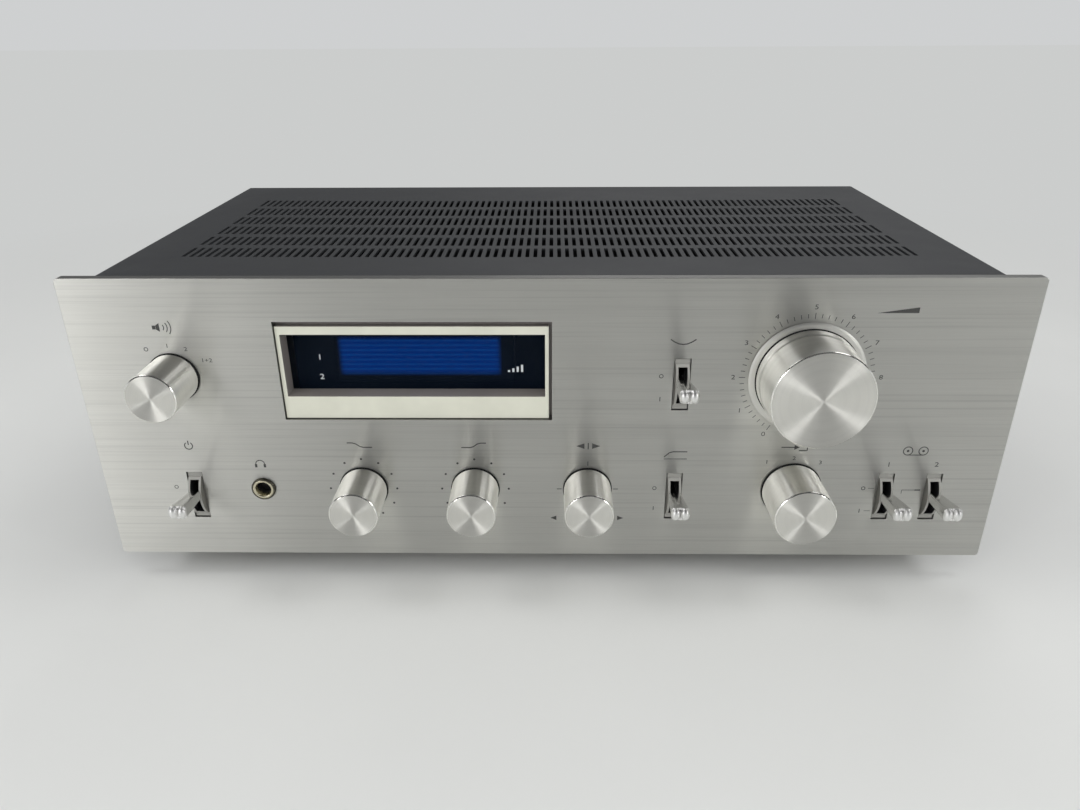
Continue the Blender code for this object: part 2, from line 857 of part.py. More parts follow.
def make_heat_sink():
    back, front = 0, -sink_base
    outline = [(sink_width / 2, back), (-sink_width / 2, back)]
    pitch = (sink_width - sink_fin_thickness) / (sink_fins - 1)
    for fin in range(sink_fins):
        left = -sink_width / 2 + fin * pitch
        right = left + sink_fin_thickness
        tip = front - sink_fin_length
        outline += [(left, front), (left, tip), (right, tip), (right, front)]
    outline.pop(-1)
    outline.pop(2)
    low = pan_floor + fit_gap
    sink = prism(outline, "Z", low, low + sink_height)
    piece("heat_sink", sink, black_aluminium, place(sink_x, sink_back_depth, 0))

    module = box(
        (-module_width / 2, fit_gap, low + module_lift),
        (module_width / 2, fit_gap + module_thickness, low + module_lift + module_height),
    )
    for hand, side in (("left", -1), ("right", 1)):
        where = place(sink_x + side * module_spread / 2, sink_back_depth, 0)
        piece(f"output_module_{hand}", module, black_plastic, where)


def make_boards():
    plate = box(
        (-main_board_width / 2, -main_board_length / 2, board_underside),
        (main_board_width / 2, main_board_length / 2, board_top),
    )
    relay = box(
        (-relay_width / 2, -relay_length / 2, board_top - part_sink),
        (relay_width / 2, relay_length / 2, board_top + relay_height),
    )
    can = rod(can_radius, board_top - part_sink, board_top + can_height, small_steps, "Z")
    can_places = [(cans_x + x - main_board_x, y, 0) for x, y in grid((cans, 2), (can_pitch, can_pitch))]
    parts = [moved(relay, (relay_x - main_board_x, 0, 0)), moved(can, *can_places)]
    solid = carved(plate, joined=parts)
    piece("main_board", solid, circuit_board, place(main_board_x, main_board_depth, 0))

    front = sub_panel_back + fit_gap + tone_pot_length + fit_gap
    width = 2 * tone_pitch + 2 * (tone_pot_radius + tone_board_margin)
    middle = bass_x + tone_pitch
    board = box(
        (middle - width / 2, front, lower_row - tone_board_height / 2),
        (middle + width / 2, front + board_thickness, lower_row + tone_board_height / 2),
    )
    piece("tone_board", board, circuit_board, place(0, 0, 0))


def make_capacitors():
    low = board_top + fit_gap
    high = low + capacitor_height
    waist = high - capacitor_groove_height
    profile = (
        (0, low), (capacitor_radius, low), (capacitor_radius, waist - capacitor_groove),
        (capacitor_radius - capacitor_groove, waist), (capacitor_radius, waist + capacitor_groove),
        (capacitor_radius, high - capacitor_edge), (capacitor_radius - capacitor_edge, high), (0, high),
    )
    can = turned(profile, plain_steps, "Z")
    for hand, side in (("left", -1), ("right", 1)):
        where = place(capacitor_x + side * capacitor_pitch / 2, main_board_depth, 0)
        piece(f"filter_capacitor_{hand}", can, capacitor_blue, where, smooth=True)


def make_input_jacks():
    board_back = rear_inner - fit_gap
    half_width = ((jack_columns - 1) * jack_pitch) / 2 + phono_base_radius + jack_board_margin
    half_height = jack_row_pitch / 2 + phono_base_radius + jack_board_margin
    board_front = board_back - jack_board_thickness
    plate = box((-half_width, board_front, -half_height), (half_width, board_back, half_height))
    base_end = rear_face + phono_base_reach
    end = rear_face + phono_sleeve_reach
    start = board_back - part_sink
    profile = (
        (0, start), (phono_base_radius, start), (phono_base_radius, base_end),
        (phono_sleeve_radius, base_end), (phono_sleeve_radius, end), (phono_hole_radius, end),
        (phono_hole_radius, end - phono_hole_depth), (0, end - phono_hole_depth),
    )
    jack = turned(profile, small_steps)
    places = [(x, 0, z) for x, z in grid((jack_columns, 2), (jack_pitch, jack_row_pitch))]
    solid = carved(plate, joined=[moved(jack, *places)])
    piece("input_jack_block", solid, steel, place(jack_block_x, 0, jack_block_height))


def speaker_block_half():
    half_width = (speaker_columns - 1) * speaker_pitch / 2 + speaker_well_radius + speaker_block_margin
    half_height = speaker_row_pitch / 2 + speaker_well_radius + speaker_block_margin
    return half_width, half_height


def make_speaker_terminals():
    half_width, half_height = speaker_block_half()
    end = rear_face + speaker_block_reach
    inner_end = rear_inner - speaker_block_sunk
    block = box((-half_width, inner_end, -half_height), (half_width, end, half_height))
    floor = end - speaker_well_depth
    well = rod(speaker_well_radius, floor, end + overrun, small_steps)
    screw = rod(speaker_screw_radius, floor - part_sink, floor + speaker_screw_height, small_steps)
    places = [(x, 0, z) for x, z in grid((speaker_columns, 2), (speaker_pitch, speaker_row_pitch))]
    drilled = carved(block, removed=[moved(well, *places)])
    solid = carved(drilled, joined=[moved(screw, *places)])
    piece("speaker_terminals", solid, black_plastic, place(speaker_block_x, 0, speaker_block_height))


def make_ground_terminal():
    nut_start = rear_face + fit_gap
    nut_end = nut_start + ground_collar
    cap_start = nut_end + ground_collar
    end = rear_face + ground_reach
    profile = (
        (0, rear_inner - ground_tail), (ground_post_radius, rear_inner - ground_tail),
        (ground_post_radius, nut_start), (ground_nut_radius, nut_start),
        (ground_nut_radius, nut_end), (ground_post_radius, nut_end),
        (ground_post_radius, cap_start), (ground_nut_radius, cap_start),
        (ground_nut_radius, end - ground_nut_edge), (ground_nut_radius - ground_nut_edge, end), (0, end),
    )
    solid = turned(profile, coarse_steps)
    piece("ground_terminal", solid, steel, place(ground_x, 0, ground_height), smooth=True)


def make_cord_gland():
    outside = rear_face + fit_gap
    tail = rear_inner - gland_tail
    profile = (
        (gland_bore_radius, tail), (gland_neck_radius, tail), (gland_neck_radius, outside),
        (gland_flange_radius, outside), (gland_flange_radius, outside + gland_flange),
        (gland_bore_radius, outside + gland_flange), (gland_bore_radius, tail),
    )
    solid = turned(profile, plain_steps)
    piece("cord_gland", solid, black_plastic, place(gland_x, 0, gland_height), smooth=True)


aluminium = finish("brushed_aluminium", (0.60, 0.59, 0.56), 0.30, 1.0)
dark_paint = finish("dark_paint", (0.060, 0.062, 0.066), 0.55, 0.0)
zinc = finish("zinc_plate", (0.55, 0.54, 0.50), 0.38, 1.0)
steel = finish("bright_steel", (0.62, 0.62, 0.62), 0.25, 1.0)
chrome = finish("chrome", (0.75, 0.75, 0.75), 0.12, 1.0)
brass = finish("jack_metal", (0.40, 0.35, 0.26), 0.35, 1.0)
cream_plastic = finish("cream_plastic", (0.66, 0.65, 0.55), 0.45, 0.0)
grey_plastic = finish("grey_plate", (0.26, 0.26, 0.25), 0.40, 0.0)
black_plastic = finish("black_plastic", (0.020, 0.020, 0.022), 0.45, 0.0)
rubber = finish("foot_rubber", (0.025, 0.025, 0.025), 0.80, 0.0)
smoked_glass = finish("smoked_glass", (0.006, 0.010, 0.022), 0.08, 0.0)
blue_glass = finish("display_blue", (0.004, 0.050, 0.260), 0.20, 0.0)
circuit_board = finish("circuit_board", (0.34, 0.22, 0.09), 0.60, 0.0)
black_aluminium = finish("black_aluminium", (0.030, 0.030, 0.032), 0.45, 1.0)
capacitor_blue = finish("capacitor_sleeve", (0.020, 0.030, 0.060), 0.35, 0.0)

make_front_panel()
make_top_cover()
make_chassis_pan()
make_rear_panel()
make_sub_panel()
make_feet()
make_display()
make_controls()
make_volume_ring()
make_levers()
make_phones_jack()
make_transformer()
make_heat_sink()
make_boards()
make_capacitors()
make_input_jacks()
make_speaker_terminals()
make_ground_terminal()
make_cord_gland()
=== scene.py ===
import json
import math

import bmesh
import bpy
from mathutils import Matrix, Vector

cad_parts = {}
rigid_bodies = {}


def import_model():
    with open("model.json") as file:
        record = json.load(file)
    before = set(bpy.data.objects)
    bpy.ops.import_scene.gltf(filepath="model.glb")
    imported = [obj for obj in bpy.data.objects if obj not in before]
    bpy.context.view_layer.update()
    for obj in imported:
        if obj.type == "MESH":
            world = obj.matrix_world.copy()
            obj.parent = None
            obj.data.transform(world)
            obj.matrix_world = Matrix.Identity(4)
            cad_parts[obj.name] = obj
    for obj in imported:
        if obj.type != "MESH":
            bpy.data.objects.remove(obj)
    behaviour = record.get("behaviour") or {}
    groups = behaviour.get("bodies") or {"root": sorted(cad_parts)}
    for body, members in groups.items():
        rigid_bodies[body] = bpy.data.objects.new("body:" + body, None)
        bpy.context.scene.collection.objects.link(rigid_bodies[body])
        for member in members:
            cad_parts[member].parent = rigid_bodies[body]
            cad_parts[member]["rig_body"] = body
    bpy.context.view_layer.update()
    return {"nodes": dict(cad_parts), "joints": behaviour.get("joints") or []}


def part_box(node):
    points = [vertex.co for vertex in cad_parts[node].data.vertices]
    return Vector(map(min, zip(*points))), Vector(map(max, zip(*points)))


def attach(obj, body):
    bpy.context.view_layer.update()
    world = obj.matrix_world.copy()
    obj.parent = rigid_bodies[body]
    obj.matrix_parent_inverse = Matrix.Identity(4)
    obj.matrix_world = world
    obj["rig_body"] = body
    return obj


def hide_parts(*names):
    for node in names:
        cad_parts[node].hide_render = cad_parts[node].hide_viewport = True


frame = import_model()

mm = 0.001
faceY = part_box("front_panel")[0].y
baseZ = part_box("front_panel")[0].z
axisPlace = {joint["child"]: Vector(joint["pos_m"]) for joint in frame["joints"]}
switchNames = ("power", "loudness", "subsonic", "tape_1", "tape_2")
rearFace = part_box("rear_panel")[1].y


# Node helpers, so that each finish reads as a recipe
def feed(tree, node, **sockets):
    # Each socket gets a fixed value or a link from another node
    for name, value in sockets.items():
        socket = node.inputs[name.replace("_", " ")]
        if isinstance(value, bpy.types.NodeSocket):
            tree.links.new(value, socket)
        else:
            socket.default_value = value


def addNode(tree, kind, **sockets):
    node = tree.nodes.new(f"ShaderNode{kind}")
    feed(tree, node, **sockets)
    return node


def newFinish(name, colour, roughness, metallic=0.0, **sockets):
    finish = bpy.data.materials.new(name)
    finish.use_nodes = True
    tree = finish.node_tree
    shader = tree.nodes["Principled BSDF"]
    feed(tree, shader, Base_Color=(*colour, 1), Roughness=roughness, Metallic=metallic, **sockets)
    return finish, tree, shader


def spots(tree, scale, detail=3.0, stretch=(1, 1, 1), rough=0.55):
    # Noise in the piece's own metres, drawn out along the axes with a small stretch
    place = addNode(tree, "TexCoord")
    turn = addNode(tree, "Mapping", Vector=place.outputs["Object"], Scale=stretch)
    noise = addNode(
        tree, "TexNoise", Vector=turn.outputs["Vector"], Scale=scale, Detail=detail, Roughness=rough
    )
    return noise.outputs["Fac"]


def rings(tree, scale, detail):
    # Lines round a turned piece: noise that only changes along its profile
    layout = addNode(tree, "UVMap")
    layout.uv_map = "turning"
    parts = addNode(tree, "SeparateXYZ", Vector=layout.outputs["UV"])
    noise = addNode(tree, "TexNoise")
    noise.noise_dimensions = "1D"
    feed(tree, noise, W=parts.outputs["X"], Scale=scale, Detail=detail)
    return noise.outputs["Fac"]


def spread(tree, fac, low, high, start=0.3, end=0.7):
    span = addNode(tree, "MapRange", Value=fac, From_Min=start, From_Max=end, To_Min=low, To_Max=high)
    return span.outputs["Result"]


def blendColours(tree, fac, first, second):
    mix = addNode(tree, "Mix")
    mix.data_type = "RGBA"
    for name, value in (("A", first), ("B", second)):
        socket = [entry for entry in mix.inputs if entry.name == name and entry.type == "RGBA"][0]
        if isinstance(value, bpy.types.NodeSocket):
            tree.links.new(value, socket)
        else:
            socket.default_value = (*value, 1)
    tree.links.new(fac, mix.inputs["Factor"])
    return [entry for entry in mix.outputs if entry.type == "RGBA"][0]


def combined(tree, operation, first, second):
    both = addNode(tree, "Math")
    both.operation = operation
    both.use_clamp = True
    tree.links.new(first, both.inputs[0])
    tree.links.new(second, both.inputs[1])
    return both.outputs["Value"]


def mixedSurface(tree, fac, first, second, output):
    mix = addNode(tree, "MixShader", Fac=fac)
    tree.links.new(first, mix.inputs[1])
    tree.links.new(second, mix.inputs[2])
    tree.links.new(mix.outputs["Shader"], tree.nodes[output].inputs["Surface"])


def shade(colour, factor):
    return tuple(part * factor for part in colour)


def layered(tree, shader, tone, *layers):
    # Each layer is a noise, how much of it shows, its colour and, where it is sparse, its start and end
    for fac, amount, colour, *span in layers:
        tone = blendColours(tree, spread(tree, fac, 0, amount, *span), tone, colour)
    feed(tree, shader, Base_Color=tone)


def uneven(tree, shader, fac, low, high):
    feed(tree, shader, Roughness=spread(tree, fac, low, high))


def relief(tree, shader, height, distance, strength):
    bump = addNode(tree, "Bump", Height=height, Distance=distance, Strength=strength)
    feed(tree, shader, Normal=bump.outputs["Normal"])


def stretchGloss(tree, shader, mapName):
    tangent = addNode(tree, "Tangent")
    tangent.direction_type = "UV_MAP"
    tangent.uv_map = mapName
    feed(tree, shader, Tangent=tangent.outputs["Tangent"])


# Finishes
panelFinish = {"colour": (0.85, 0.845, 0.799), "roughness": (0.43, 0.48), "lineDepth": 0.02 * mm}


def brushedPanel():
    colour = panelFinish["colour"]
    finish, tree, shader = newFinish("brushedPanel", colour, 0.34, 1.0, Anisotropic=1.0)
    broad = spots(tree, 1.0, 2.0, (3, 40, 150))
    lines = spots(tree, 1.0, 3.0, (7, 60, 800), 0.6)
    fine = spots(tree, 1.0, 4.0, (20, 900, 2600), 0.7)
    layered(
        tree, shader, shade(colour, 0.97), (broad, 1, shade(colour, 1.03)),
        (lines, 0.7, shade(colour, 0.82), 0.52, 0.72), (fine, 0.35, shade(colour, 0.84)),
    )
    uneven(tree, shader, fine, *panelFinish["roughness"])
    relief(tree, shader, fine, panelFinish["lineDepth"], 0.35)
    stretchGloss(tree, shader, "brushing")
    return finish


def milledEdge():
    # The edges and back of the panel: a plainer, much darker copy of its aluminium, a painted shade
    colour = (0.40, 0.396, 0.384)
    finish, tree, shader = newFinish("milledEdge", colour, 0.36, 1.0)
    fine = spots(tree, 1.0, 4.0, (30, 1800, 1800), 0.6)
    layered(tree, shader, colour, (fine, 1, shade(colour, 0.86)))
    uneven(tree, shader, fine, 0.32, 0.42)
    relief(tree, shader, fine, 0.01 * mm, 0.3)
    return finish


spunFinish = {
    "colour": (0.91, 0.90, 0.85),
    "ringScale": 5200.0,
    "broadRingScale": 5200.0 / 12,
    "lineDepth": 0.002 * mm,
}


def spunAluminium(name, stretch, roughness, tint):
    colour = shade(spunFinish["colour"], tint)
    finish, tree, shader = newFinish(name, colour, 0.25, 1.0, Anisotropic=stretch)
    cut = rings(tree, spunFinish["ringScale"], 2.0)
    wide = rings(tree, spunFinish["broadRingScale"], 3.0)
    layered(
        tree, shader, shade(colour, 0.97), (wide, 1, shade(colour, 1.02)), (cut, 0.25, shade(colour, 0.86))
    )
    uneven(tree, shader, spots(tree, 70.0), *roughness)
    relief(tree, shader, wide, spunFinish["lineDepth"], 0.10)
    stretchGloss(tree, shader, "turning")
    return finish


def polished(name, colour, roughness, smear=90.0):
    # Plated or polished metal with faint wipe marks
    finish, tree, shader = newFinish(name, colour, roughness, 1.0)
    wipe = spots(tree, smear, 4.0, (1, 2.5, 1))
    layered(tree, shader, shade(colour, 0.94), (wipe, 1, colour))
    uneven(tree, shader, wipe, roughness * 0.75, roughness * 1.5)
    relief(tree, shader, spots(tree, 3200.0, 2.0), 0.003 * mm, 0.2)
    return finish


def plated(name, colour, roughness, flake=120.0):
    # Zinc plate on sheet steel: soft patches and fine rolling lines
    finish, tree, shader = newFinish(name, colour, roughness, 1.0)
    patch = spots(tree, flake, 4.0, (1, 1, 1), 0.65)
    rolled = spots(tree, 1.0, 3.0, (700, 20, 700))
    layered(
        tree, shader, shade(colour, 0.82), (patch, 1, shade(colour, 1.06)), (rolled, 0.3, shade(colour, 0.7))
    )
    uneven(tree, shader, patch, roughness - 0.08, roughness + 0.10)
    relief(tree, shader, rolled, 0.02 * mm, 0.25)
    return finish


def painted(name, colour, roughness, grain=1500.0, depth=0.04 * mm, **sockets):
    # Stoved paint: fine pebbling, a little dust and uneven gloss
    finish, tree, shader = newFinish(name, colour, roughness, **sockets)
    cloud = spots(tree, 22.0, 4.0)
    dust = spots(tree, 5200.0, 1.0)
    layered(
        tree, shader, shade(colour, 0.90), (cloud, 1, shade(colour, 1.12)),
        (dust, 0.20, (0.30, 0.30, 0.30), 0.62, 0.80),
    )
    uneven(tree, shader, cloud, roughness - 0.06, roughness + 0.08)
    relief(tree, shader, spots(tree, grain, 2.0), depth, 0.30)
    return finish


def moulded(name, colour, roughness, grain=2600.0, depth=0.02 * mm, **sockets):
    # Moulded plastic or rubber: tiny grain and slow changes of tone
    finish, tree, shader = newFinish(name, colour, roughness, **sockets)
    pebble = spots(tree, grain)
    layered(tree, shader, shade(colour, 0.93), (spots(tree, 60.0), 1, shade(colour, 1.05)))
    uneven(tree, shader, pebble, roughness - 0.05, roughness + 0.07)
    relief(tree, shader, pebble, depth, 0.30)
    return finish


def laminate(name, colour, weave):
    # Circuit board: crossed fibres under a thin varnish, with darker traces
    finish, tree, shader = newFinish(name, colour, 0.45, Coat_Weight=0.3)
    fibre = spots(tree, 1.0, 2.0, (weave, weave * 0.12, weave))
    trace = spots(tree, 140.0, 0.0)
    layered(
        tree, shader, shade(colour, 0.85), (fibre, 1, shade(colour, 1.1)),
        (trace, 0.6, shade(colour, 0.55), 0.50, 0.52),
    )
    relief(tree, shader, trace, 0.04 * mm, 0.4)
    return finish


def printedInk(name, colour):
    finish, tree, shader = newFinish(name, colour, 0.55)
    layered(tree, shader, colour, (spots(tree, 2400.0), 1, shade(colour, 1.5)))
    return finish


def smokedGlass():
    dark, pale = (0.004, 0.007, 0.013), (0.007, 0.011, 0.018)
    finish, tree, shader = newFinish("smokedGlass", dark, 0.05, IOR=1.12, Alpha=0.40)
    smear = spots(tree, 45.0, 4.0, (1, 1, 3))
    uneven(tree, shader, smear, 0.03, 0.10)
    layered(tree, shader, dark, (smear, 1, pale))
    return finish


displayPaintedLight = {
    "colour": (0.0, 0.085, 0.60),
    "line": (0.0, 0.22, 1.0),
    "rest": (0.005, 0.010, 0.022),
    "glow": 0.34,
    "across": (-85.4 * mm, -19.7 * mm),
    "upwards": (82.0 * mm, 97.5 * mm),
    "soft": 2.2 * mm,
    "linePitch": 2.1 * mm,
    "waveSpan": 0.314,  # length of one wave of the texture at a scale of 1
}


def displayFilter():
    # Blue filter over the display, with the faint lines of the segments behind it; its emission is a painted
    # glow, as the display is not lit
    look = displayPaintedLight
    finish, tree, shader = newFinish("displayFilter", look["rest"], 0.35, IOR=1.15)
    place = addNode(tree, "TexCoord")
    parts = addNode(tree, "SeparateXYZ", Vector=place.outputs["Object"])
    window = None
    for axis, start, limits in (("X", 0, look["across"]), ("Z", baseZ, look["upwards"])):
        for limit, way in zip(limits, (1, -1)):
            blur = way * look["soft"] / 2
            inside = spread(tree, parts.outputs[axis], 0, 1, start + limit - blur, start + limit + blur)
            window = inside if window is None else combined(tree, "MULTIPLY", window, inside)
    wave = addNode(
        tree, "TexWave", Vector=place.outputs["Object"], Scale=look["waveSpan"] / look["linePitch"],
        Distortion=0.4, Detail=1.0, Detail_Scale=0.4,
    )
    wave.bands_direction = "Z"
    flecks = spots(tree, 1.0, 3.0, (260, 260, 1400))
    peaks = spread(tree, wave.outputs["Fac"], 0, 0.7, 0.55, 1.0)
    lines = blendColours(tree, peaks, look["colour"], look["line"])
    mottled = blendColours(tree, spread(tree, flecks, 0, 0.45), lines, shade(look["colour"], 0.6))
    shown = blendColours(tree, window, look["rest"], mottled)
    # Painted glow: the filter's colours also shine as emission
    feed(tree, shader, Base_Color=shown, Emission_Color=shown, Emission_Strength=look["glow"])
    return finish


panelMetal = brushedPanel()
edgeShadeMetal = milledEdge()
knobFace = spunAluminium("spunFace", 1.0, (0.46, 0.50), 1.03)
knobSide = spunAluminium("turnedSide", 1.0, (0.34, 0.38), 1.04)
knobRim = polished("knobRim", (0.90, 0.89, 0.85), 0.14, 200.0)
ringMetal = spunAluminium("ringMetal", 0.3, (0.42, 0.46), 0.80)
leverChrome = polished("leverChrome", (0.80, 0.795, 0.78), 0.17, 24.0)
# A brighter, rougher copy of the lever chrome for the domed tips: painted highlight
leverTipHighlight = polished("leverTipHighlight", (0.86, 0.855, 0.84), 0.36, 24.0)
nickel = polished("nickelPlate", (0.66, 0.64, 0.59), 0.20)
agedNickel = polished("agedNickel", (0.62, 0.58, 0.44), 0.26, 300.0)
darkNut = polished("darkNut", (0.10, 0.095, 0.075), 0.30, 300.0)
blackAnodised = polished("blackAnodised", (0.035, 0.035, 0.038), 0.42, 60.0)
screwBlack = polished("blackScrew", (0.05, 0.05, 0.052), 0.35, 500.0)
zincPlate = plated("zincPlate", (0.55, 0.54, 0.50), 0.40)
controlZinc = plated("controlZinc", (0.50, 0.49, 0.45), 0.36, 400.0)
coverPaint = painted("coverPaint", (0.038, 0.040, 0.043), 0.50, IOR=1.38)
rearPaint = painted("rearPaint", (0.030, 0.031, 0.034), 0.50)
corePaint = painted("corePaint", (0.035, 0.036, 0.040), 0.45, 400.0, 0.1 * mm)
creamPlastic = moulded("creamPlastic", (0.74, 0.74, 0.63), 0.38)
# A dark grey-brown copy of the bezel plastic: painted shade on the bezel's tunnel walls and on the flange
# seen behind the lip
tunnelShadePlastic = moulded("tunnelShadePlastic", (0.27, 0.247, 0.232), 0.35)
platePlastic = moulded("platePlastic", (0.36, 0.355, 0.33), 0.34, 1800.0)
# A darker copy of the plate plastic: painted shade on the recessed side walls of each arch
archShadePlastic = moulded("archShadePlastic", (0.15, 0.145, 0.13), 0.36, 1800.0)
blackPlastic = moulded("blackPlastic", (0.018, 0.018, 0.020), 0.42, 1600.0, 0.04 * mm)
redPlastic = moulded("redPlastic", (0.42, 0.020, 0.016), 0.35, 1600.0)
whitePlastic = moulded("whitePlastic", (0.62, 0.61, 0.56), 0.38, 1600.0)
# Near-black, used for the discs behind the knobs: painted shade in the gap
gapShadeBlack = moulded("gapShadeBlack", (0.008, 0.008, 0.008), 0.9, 3800.0, 0.06 * mm)
footRubber = moulded("footRubber", (0.022, 0.022, 0.022), 0.72, 900.0, 0.12 * mm)
canSleeve = moulded("canSleeve", (0.020, 0.030, 0.060), 0.28, 700.0, 0.03 * mm, Coat_Weight=0.4)
phenolic = laminate("phenolicBoard", (0.20, 0.105, 0.045), 900.0)
boardLaminate = laminate("boardLaminate", (0.34, 0.22, 0.09), 1200.0)
glassPane = smokedGlass()
glowingFilter = displayFilter()
darkInk = printedInk("darkInk", (0.045, 0.045, 0.043))
paleInk = printedInk("paleInk", (0.62, 0.64, 0.66))
print("finishes ready")


# Mesh helpers
def meshOf(bm, name):
    mesh = bpy.data.meshes.new(name)
    bm.to_mesh(mesh)
    bm.free()
    return mesh


def addItem(name, data):
    item = bpy.data.objects.new(name, data)
    bpy.context.scene.collection.objects.link(item)
    return item


def meshFrom(item):
    # The mesh of a helper object with its modifiers applied; the helper goes
    mesh = bpy.data.meshes.new_from_object(item.evaluated_get(bpy.context.evaluated_depsgraph_get()))
    bpy.data.objects.remove(item)
    return mesh


def copyOf(node):
    bm = bmesh.new()
    bm.from_mesh(frame["nodes"][node].data)
    bmesh.ops.remove_doubles(bm, verts=bm.verts, dist=2e-6)
    bmesh.ops.dissolve_limit(bm, angle_limit=math.radians(0.5), verts=bm.verts, edges=bm.edges)
    return bm


def soften(bm, width, segments=2, angle=30, keep=None):
    sharp = [
        edge for edge in bm.edges
        if len(edge.link_faces) == 2 and edge.calc_face_angle() > math.radians(angle)
        and (keep is None or keep(edge))
    ]
    bmesh.ops.bevel(
        bm, geom=sharp, offset=width, offset_type="OFFSET", segments=segments,
        profile=0.5, affect="EDGES", clamp_overlap=True, material=-1,
    )
    return bm


def inMm(points, start=0.0):
    # Radius and depth in millimetres, the depth from a place on the axis
    return [(radius * mm, start + depth * mm) for radius, depth in points]


def spun(profile, steps, centre=(0, 0, 0), axis="Y"):
    # Radius and place along the axis, spun all the way round
    bm = bmesh.new()
    rim = [bm.verts.new((radius, along, 0)) for radius, along in profile]
    line = [bm.edges.new(pair) for pair in zip(rim, rim[1:])]
    bmesh.ops.spin(
        bm, geom=rim + line, cent=(0, 0, 0), axis=(0, 1, 0), angle=math.tau, steps=steps, use_merge=True
    )
    bmesh.ops.remove_doubles(bm, verts=bm.verts, dist=1e-7)
    bmesh.ops.recalc_face_normals(bm, faces=bm.faces)
    if axis == "Z":
        bm.transform(Matrix.Rotation(math.pi / 2, 4, "X"))
    if axis == "X":
        bm.transform(Matrix.Rotation(-math.pi / 2, 4, "Z"))
    bmesh.ops.translate(bm, vec=centre, verts=bm.verts)
    return bm


def block(low, high, ease):
    # A box with eased edges
    bm = bmesh.new()
    cube = bmesh.ops.create_cube(bm, size=1)["verts"]
    low, high = Vector(low), Vector(high)
    bmesh.ops.scale(bm, vec=high - low, verts=cube)
    bmesh.ops.translate(bm, vec=(low + high) / 2, verts=cube)
    return soften(bm, ease)


def joined(shapes):
    whole = bmesh.new()
    for shape in shapes:
        mesh = meshOf(shape, "part")
        whole.from_mesh(mesh)
        bpy.data.meshes.remove(mesh)
    return whole


def vertsOf(grown):
    return [item for item in grown["geom"] if isinstance(item, bmesh.types.BMVert)]


def polarMap(bm, centre):
    # U runs along the profile of a turned piece and V round it
    layer = bm.loops.layers.uv.new("turning")
    front = min(vert.co.y for vert in bm.verts)
    for face in bm.faces:
        angles = {}
        for loop in face.loops:
            arm = loop.vert.co - centre
            if math.hypot(arm.x, arm.z) > 1e-6:
                angles[loop] = math.atan2(arm.z, arm.x)
        if not angles:
            continue
        if max(angles.values()) - min(angles.values()) > math.pi:
            angles = {loop: angle % math.tau for loop, angle in angles.items()}
        middle = sum(angles.values()) / len(angles)
        for loop in face.loops:
            arm = loop.vert.co - centre
            along = math.hypot(arm.x, arm.z) + (loop.vert.co.y - front)
            loop[layer].uv = (along, angles.get(loop, middle) / math.tau)


def flatMap(bm, name):
    # U runs up and V runs to the right, so that the gloss is drawn out upwards
    layer = bm.loops.layers.uv.new(name)
    for face in bm.faces:
        for loop in face.loops:
            loop[layer].uv = (loop.vert.co.z - loop.vert.co.y, loop.vert.co.x)


def makePiece(name, bm, finishes, replaced=None, sharp=35, weighted=False):
    mesh = meshOf(bm, name)
    for finish in finishes:
        mesh.materials.append(finish)
    mesh.shade_smooth()
    mesh.set_sharp_from_angle(angle=math.radians(sharp))
    item = addItem(name, mesh)
    if weighted:
        even = item.modifiers.new("evenShading", "WEIGHTED_NORMAL")
        even.keep_sharp = True
    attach(item, frame["nodes"][replaced]["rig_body"] if replaced else "chassis")
    if replaced:
        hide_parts(replaced)


def dress(node, finish):
    slots = frame["nodes"][node].data.materials
    slots.clear()
    slots.append(finish)


def middleOf(node):
    # Where the axis of a piece that points backwards meets y = 0
    low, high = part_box(node)
    return Vector(((low.x + high.x) / 2, 0, (low.z + high.z) / 2))


def controlAxis(name):
    place = axisPlace[f"{name}_control"]
    return Vector((place.x, 0, place.z))


# Camera, floor and light
view = {"place": (0.00237, -0.3915, 0.2280), "pitch": 0.438, "yaw": -0.017, "roll": -0.006, "focal": 27.61}
studio = {
    "floorSize": 14.0,
    "floor": (0.76, 0.765, 0.75),
    "farFloor": (0.60, 0.61, 0.605),
    "farFade": (0.44, 0.85),
    "ambient": (0.99, 1.0, 1.0),
    "ambientStrength": 0.54,
    "horizon": (0.62, 0.63, 0.635),
    "zenith": (0.06, 0.06, 0.062),
    "zenithFade": (0.15, 0.24),
    "ceiling": (0.10, 0.10, 0.10),
    "ceilingFade": (0.89, 0.93),
    "lampTarget": (0, 0, 0.06),
    # Place, size and power of each lamp
    "lamps": {
        "leftWindow": ((-1.05, -1.30, 0.42), (1.05, 0.76), 1.8),
        "leftCore": ((-0.98, -1.12, 0.60), (0.14, 0.50), 1.5),
        "leftSide": ((-1.35, -0.95, 0.60), (0.16, 0.50), 2.0),
        "rightSide": ((1.40, -0.90, 0.55), (0.16, 0.50), 3.2),
        "overheadLeft": ((-1.0, -0.10, 1.4), (0.5, 0.6), 3.5),
        "overheadRight": ((1.0, -0.10, 1.4), (0.5, 0.6), 3.3),
        "floorFill": ((0.0, -1.0, 1.3), (1.6, 0.8), 4.6),
        "highBack": ((0.4, 1.3, 1.3), (1.2, 0.8), 4.0),
    },
}


def makeCamera():
    pitch, yaw, roll = view["pitch"], view["yaw"], view["roll"]
    ahead = Vector((math.sin(yaw) * math.cos(pitch), math.cos(yaw) * math.cos(pitch), -math.sin(pitch)))
    right = Vector((math.cos(yaw), -math.sin(yaw), 0))
    up = right.cross(ahead)
    side = right * math.cos(roll) + up * math.sin(roll)
    top = up * math.cos(roll) - right * math.sin(roll)
    lens = bpy.data.cameras.new("camera")
    lens.lens = view["focal"]
    lens.sensor_width = 36.0
    lens.sensor_fit = "HORIZONTAL"
    lens.clip_start = 0.01
    camera = addItem("camera", lens)
    turn = Matrix((side, top, -ahead)).transposed().to_4x4()
    camera.matrix_world = Matrix.Translation(view["place"]) @ turn
    bpy.context.scene.camera = camera


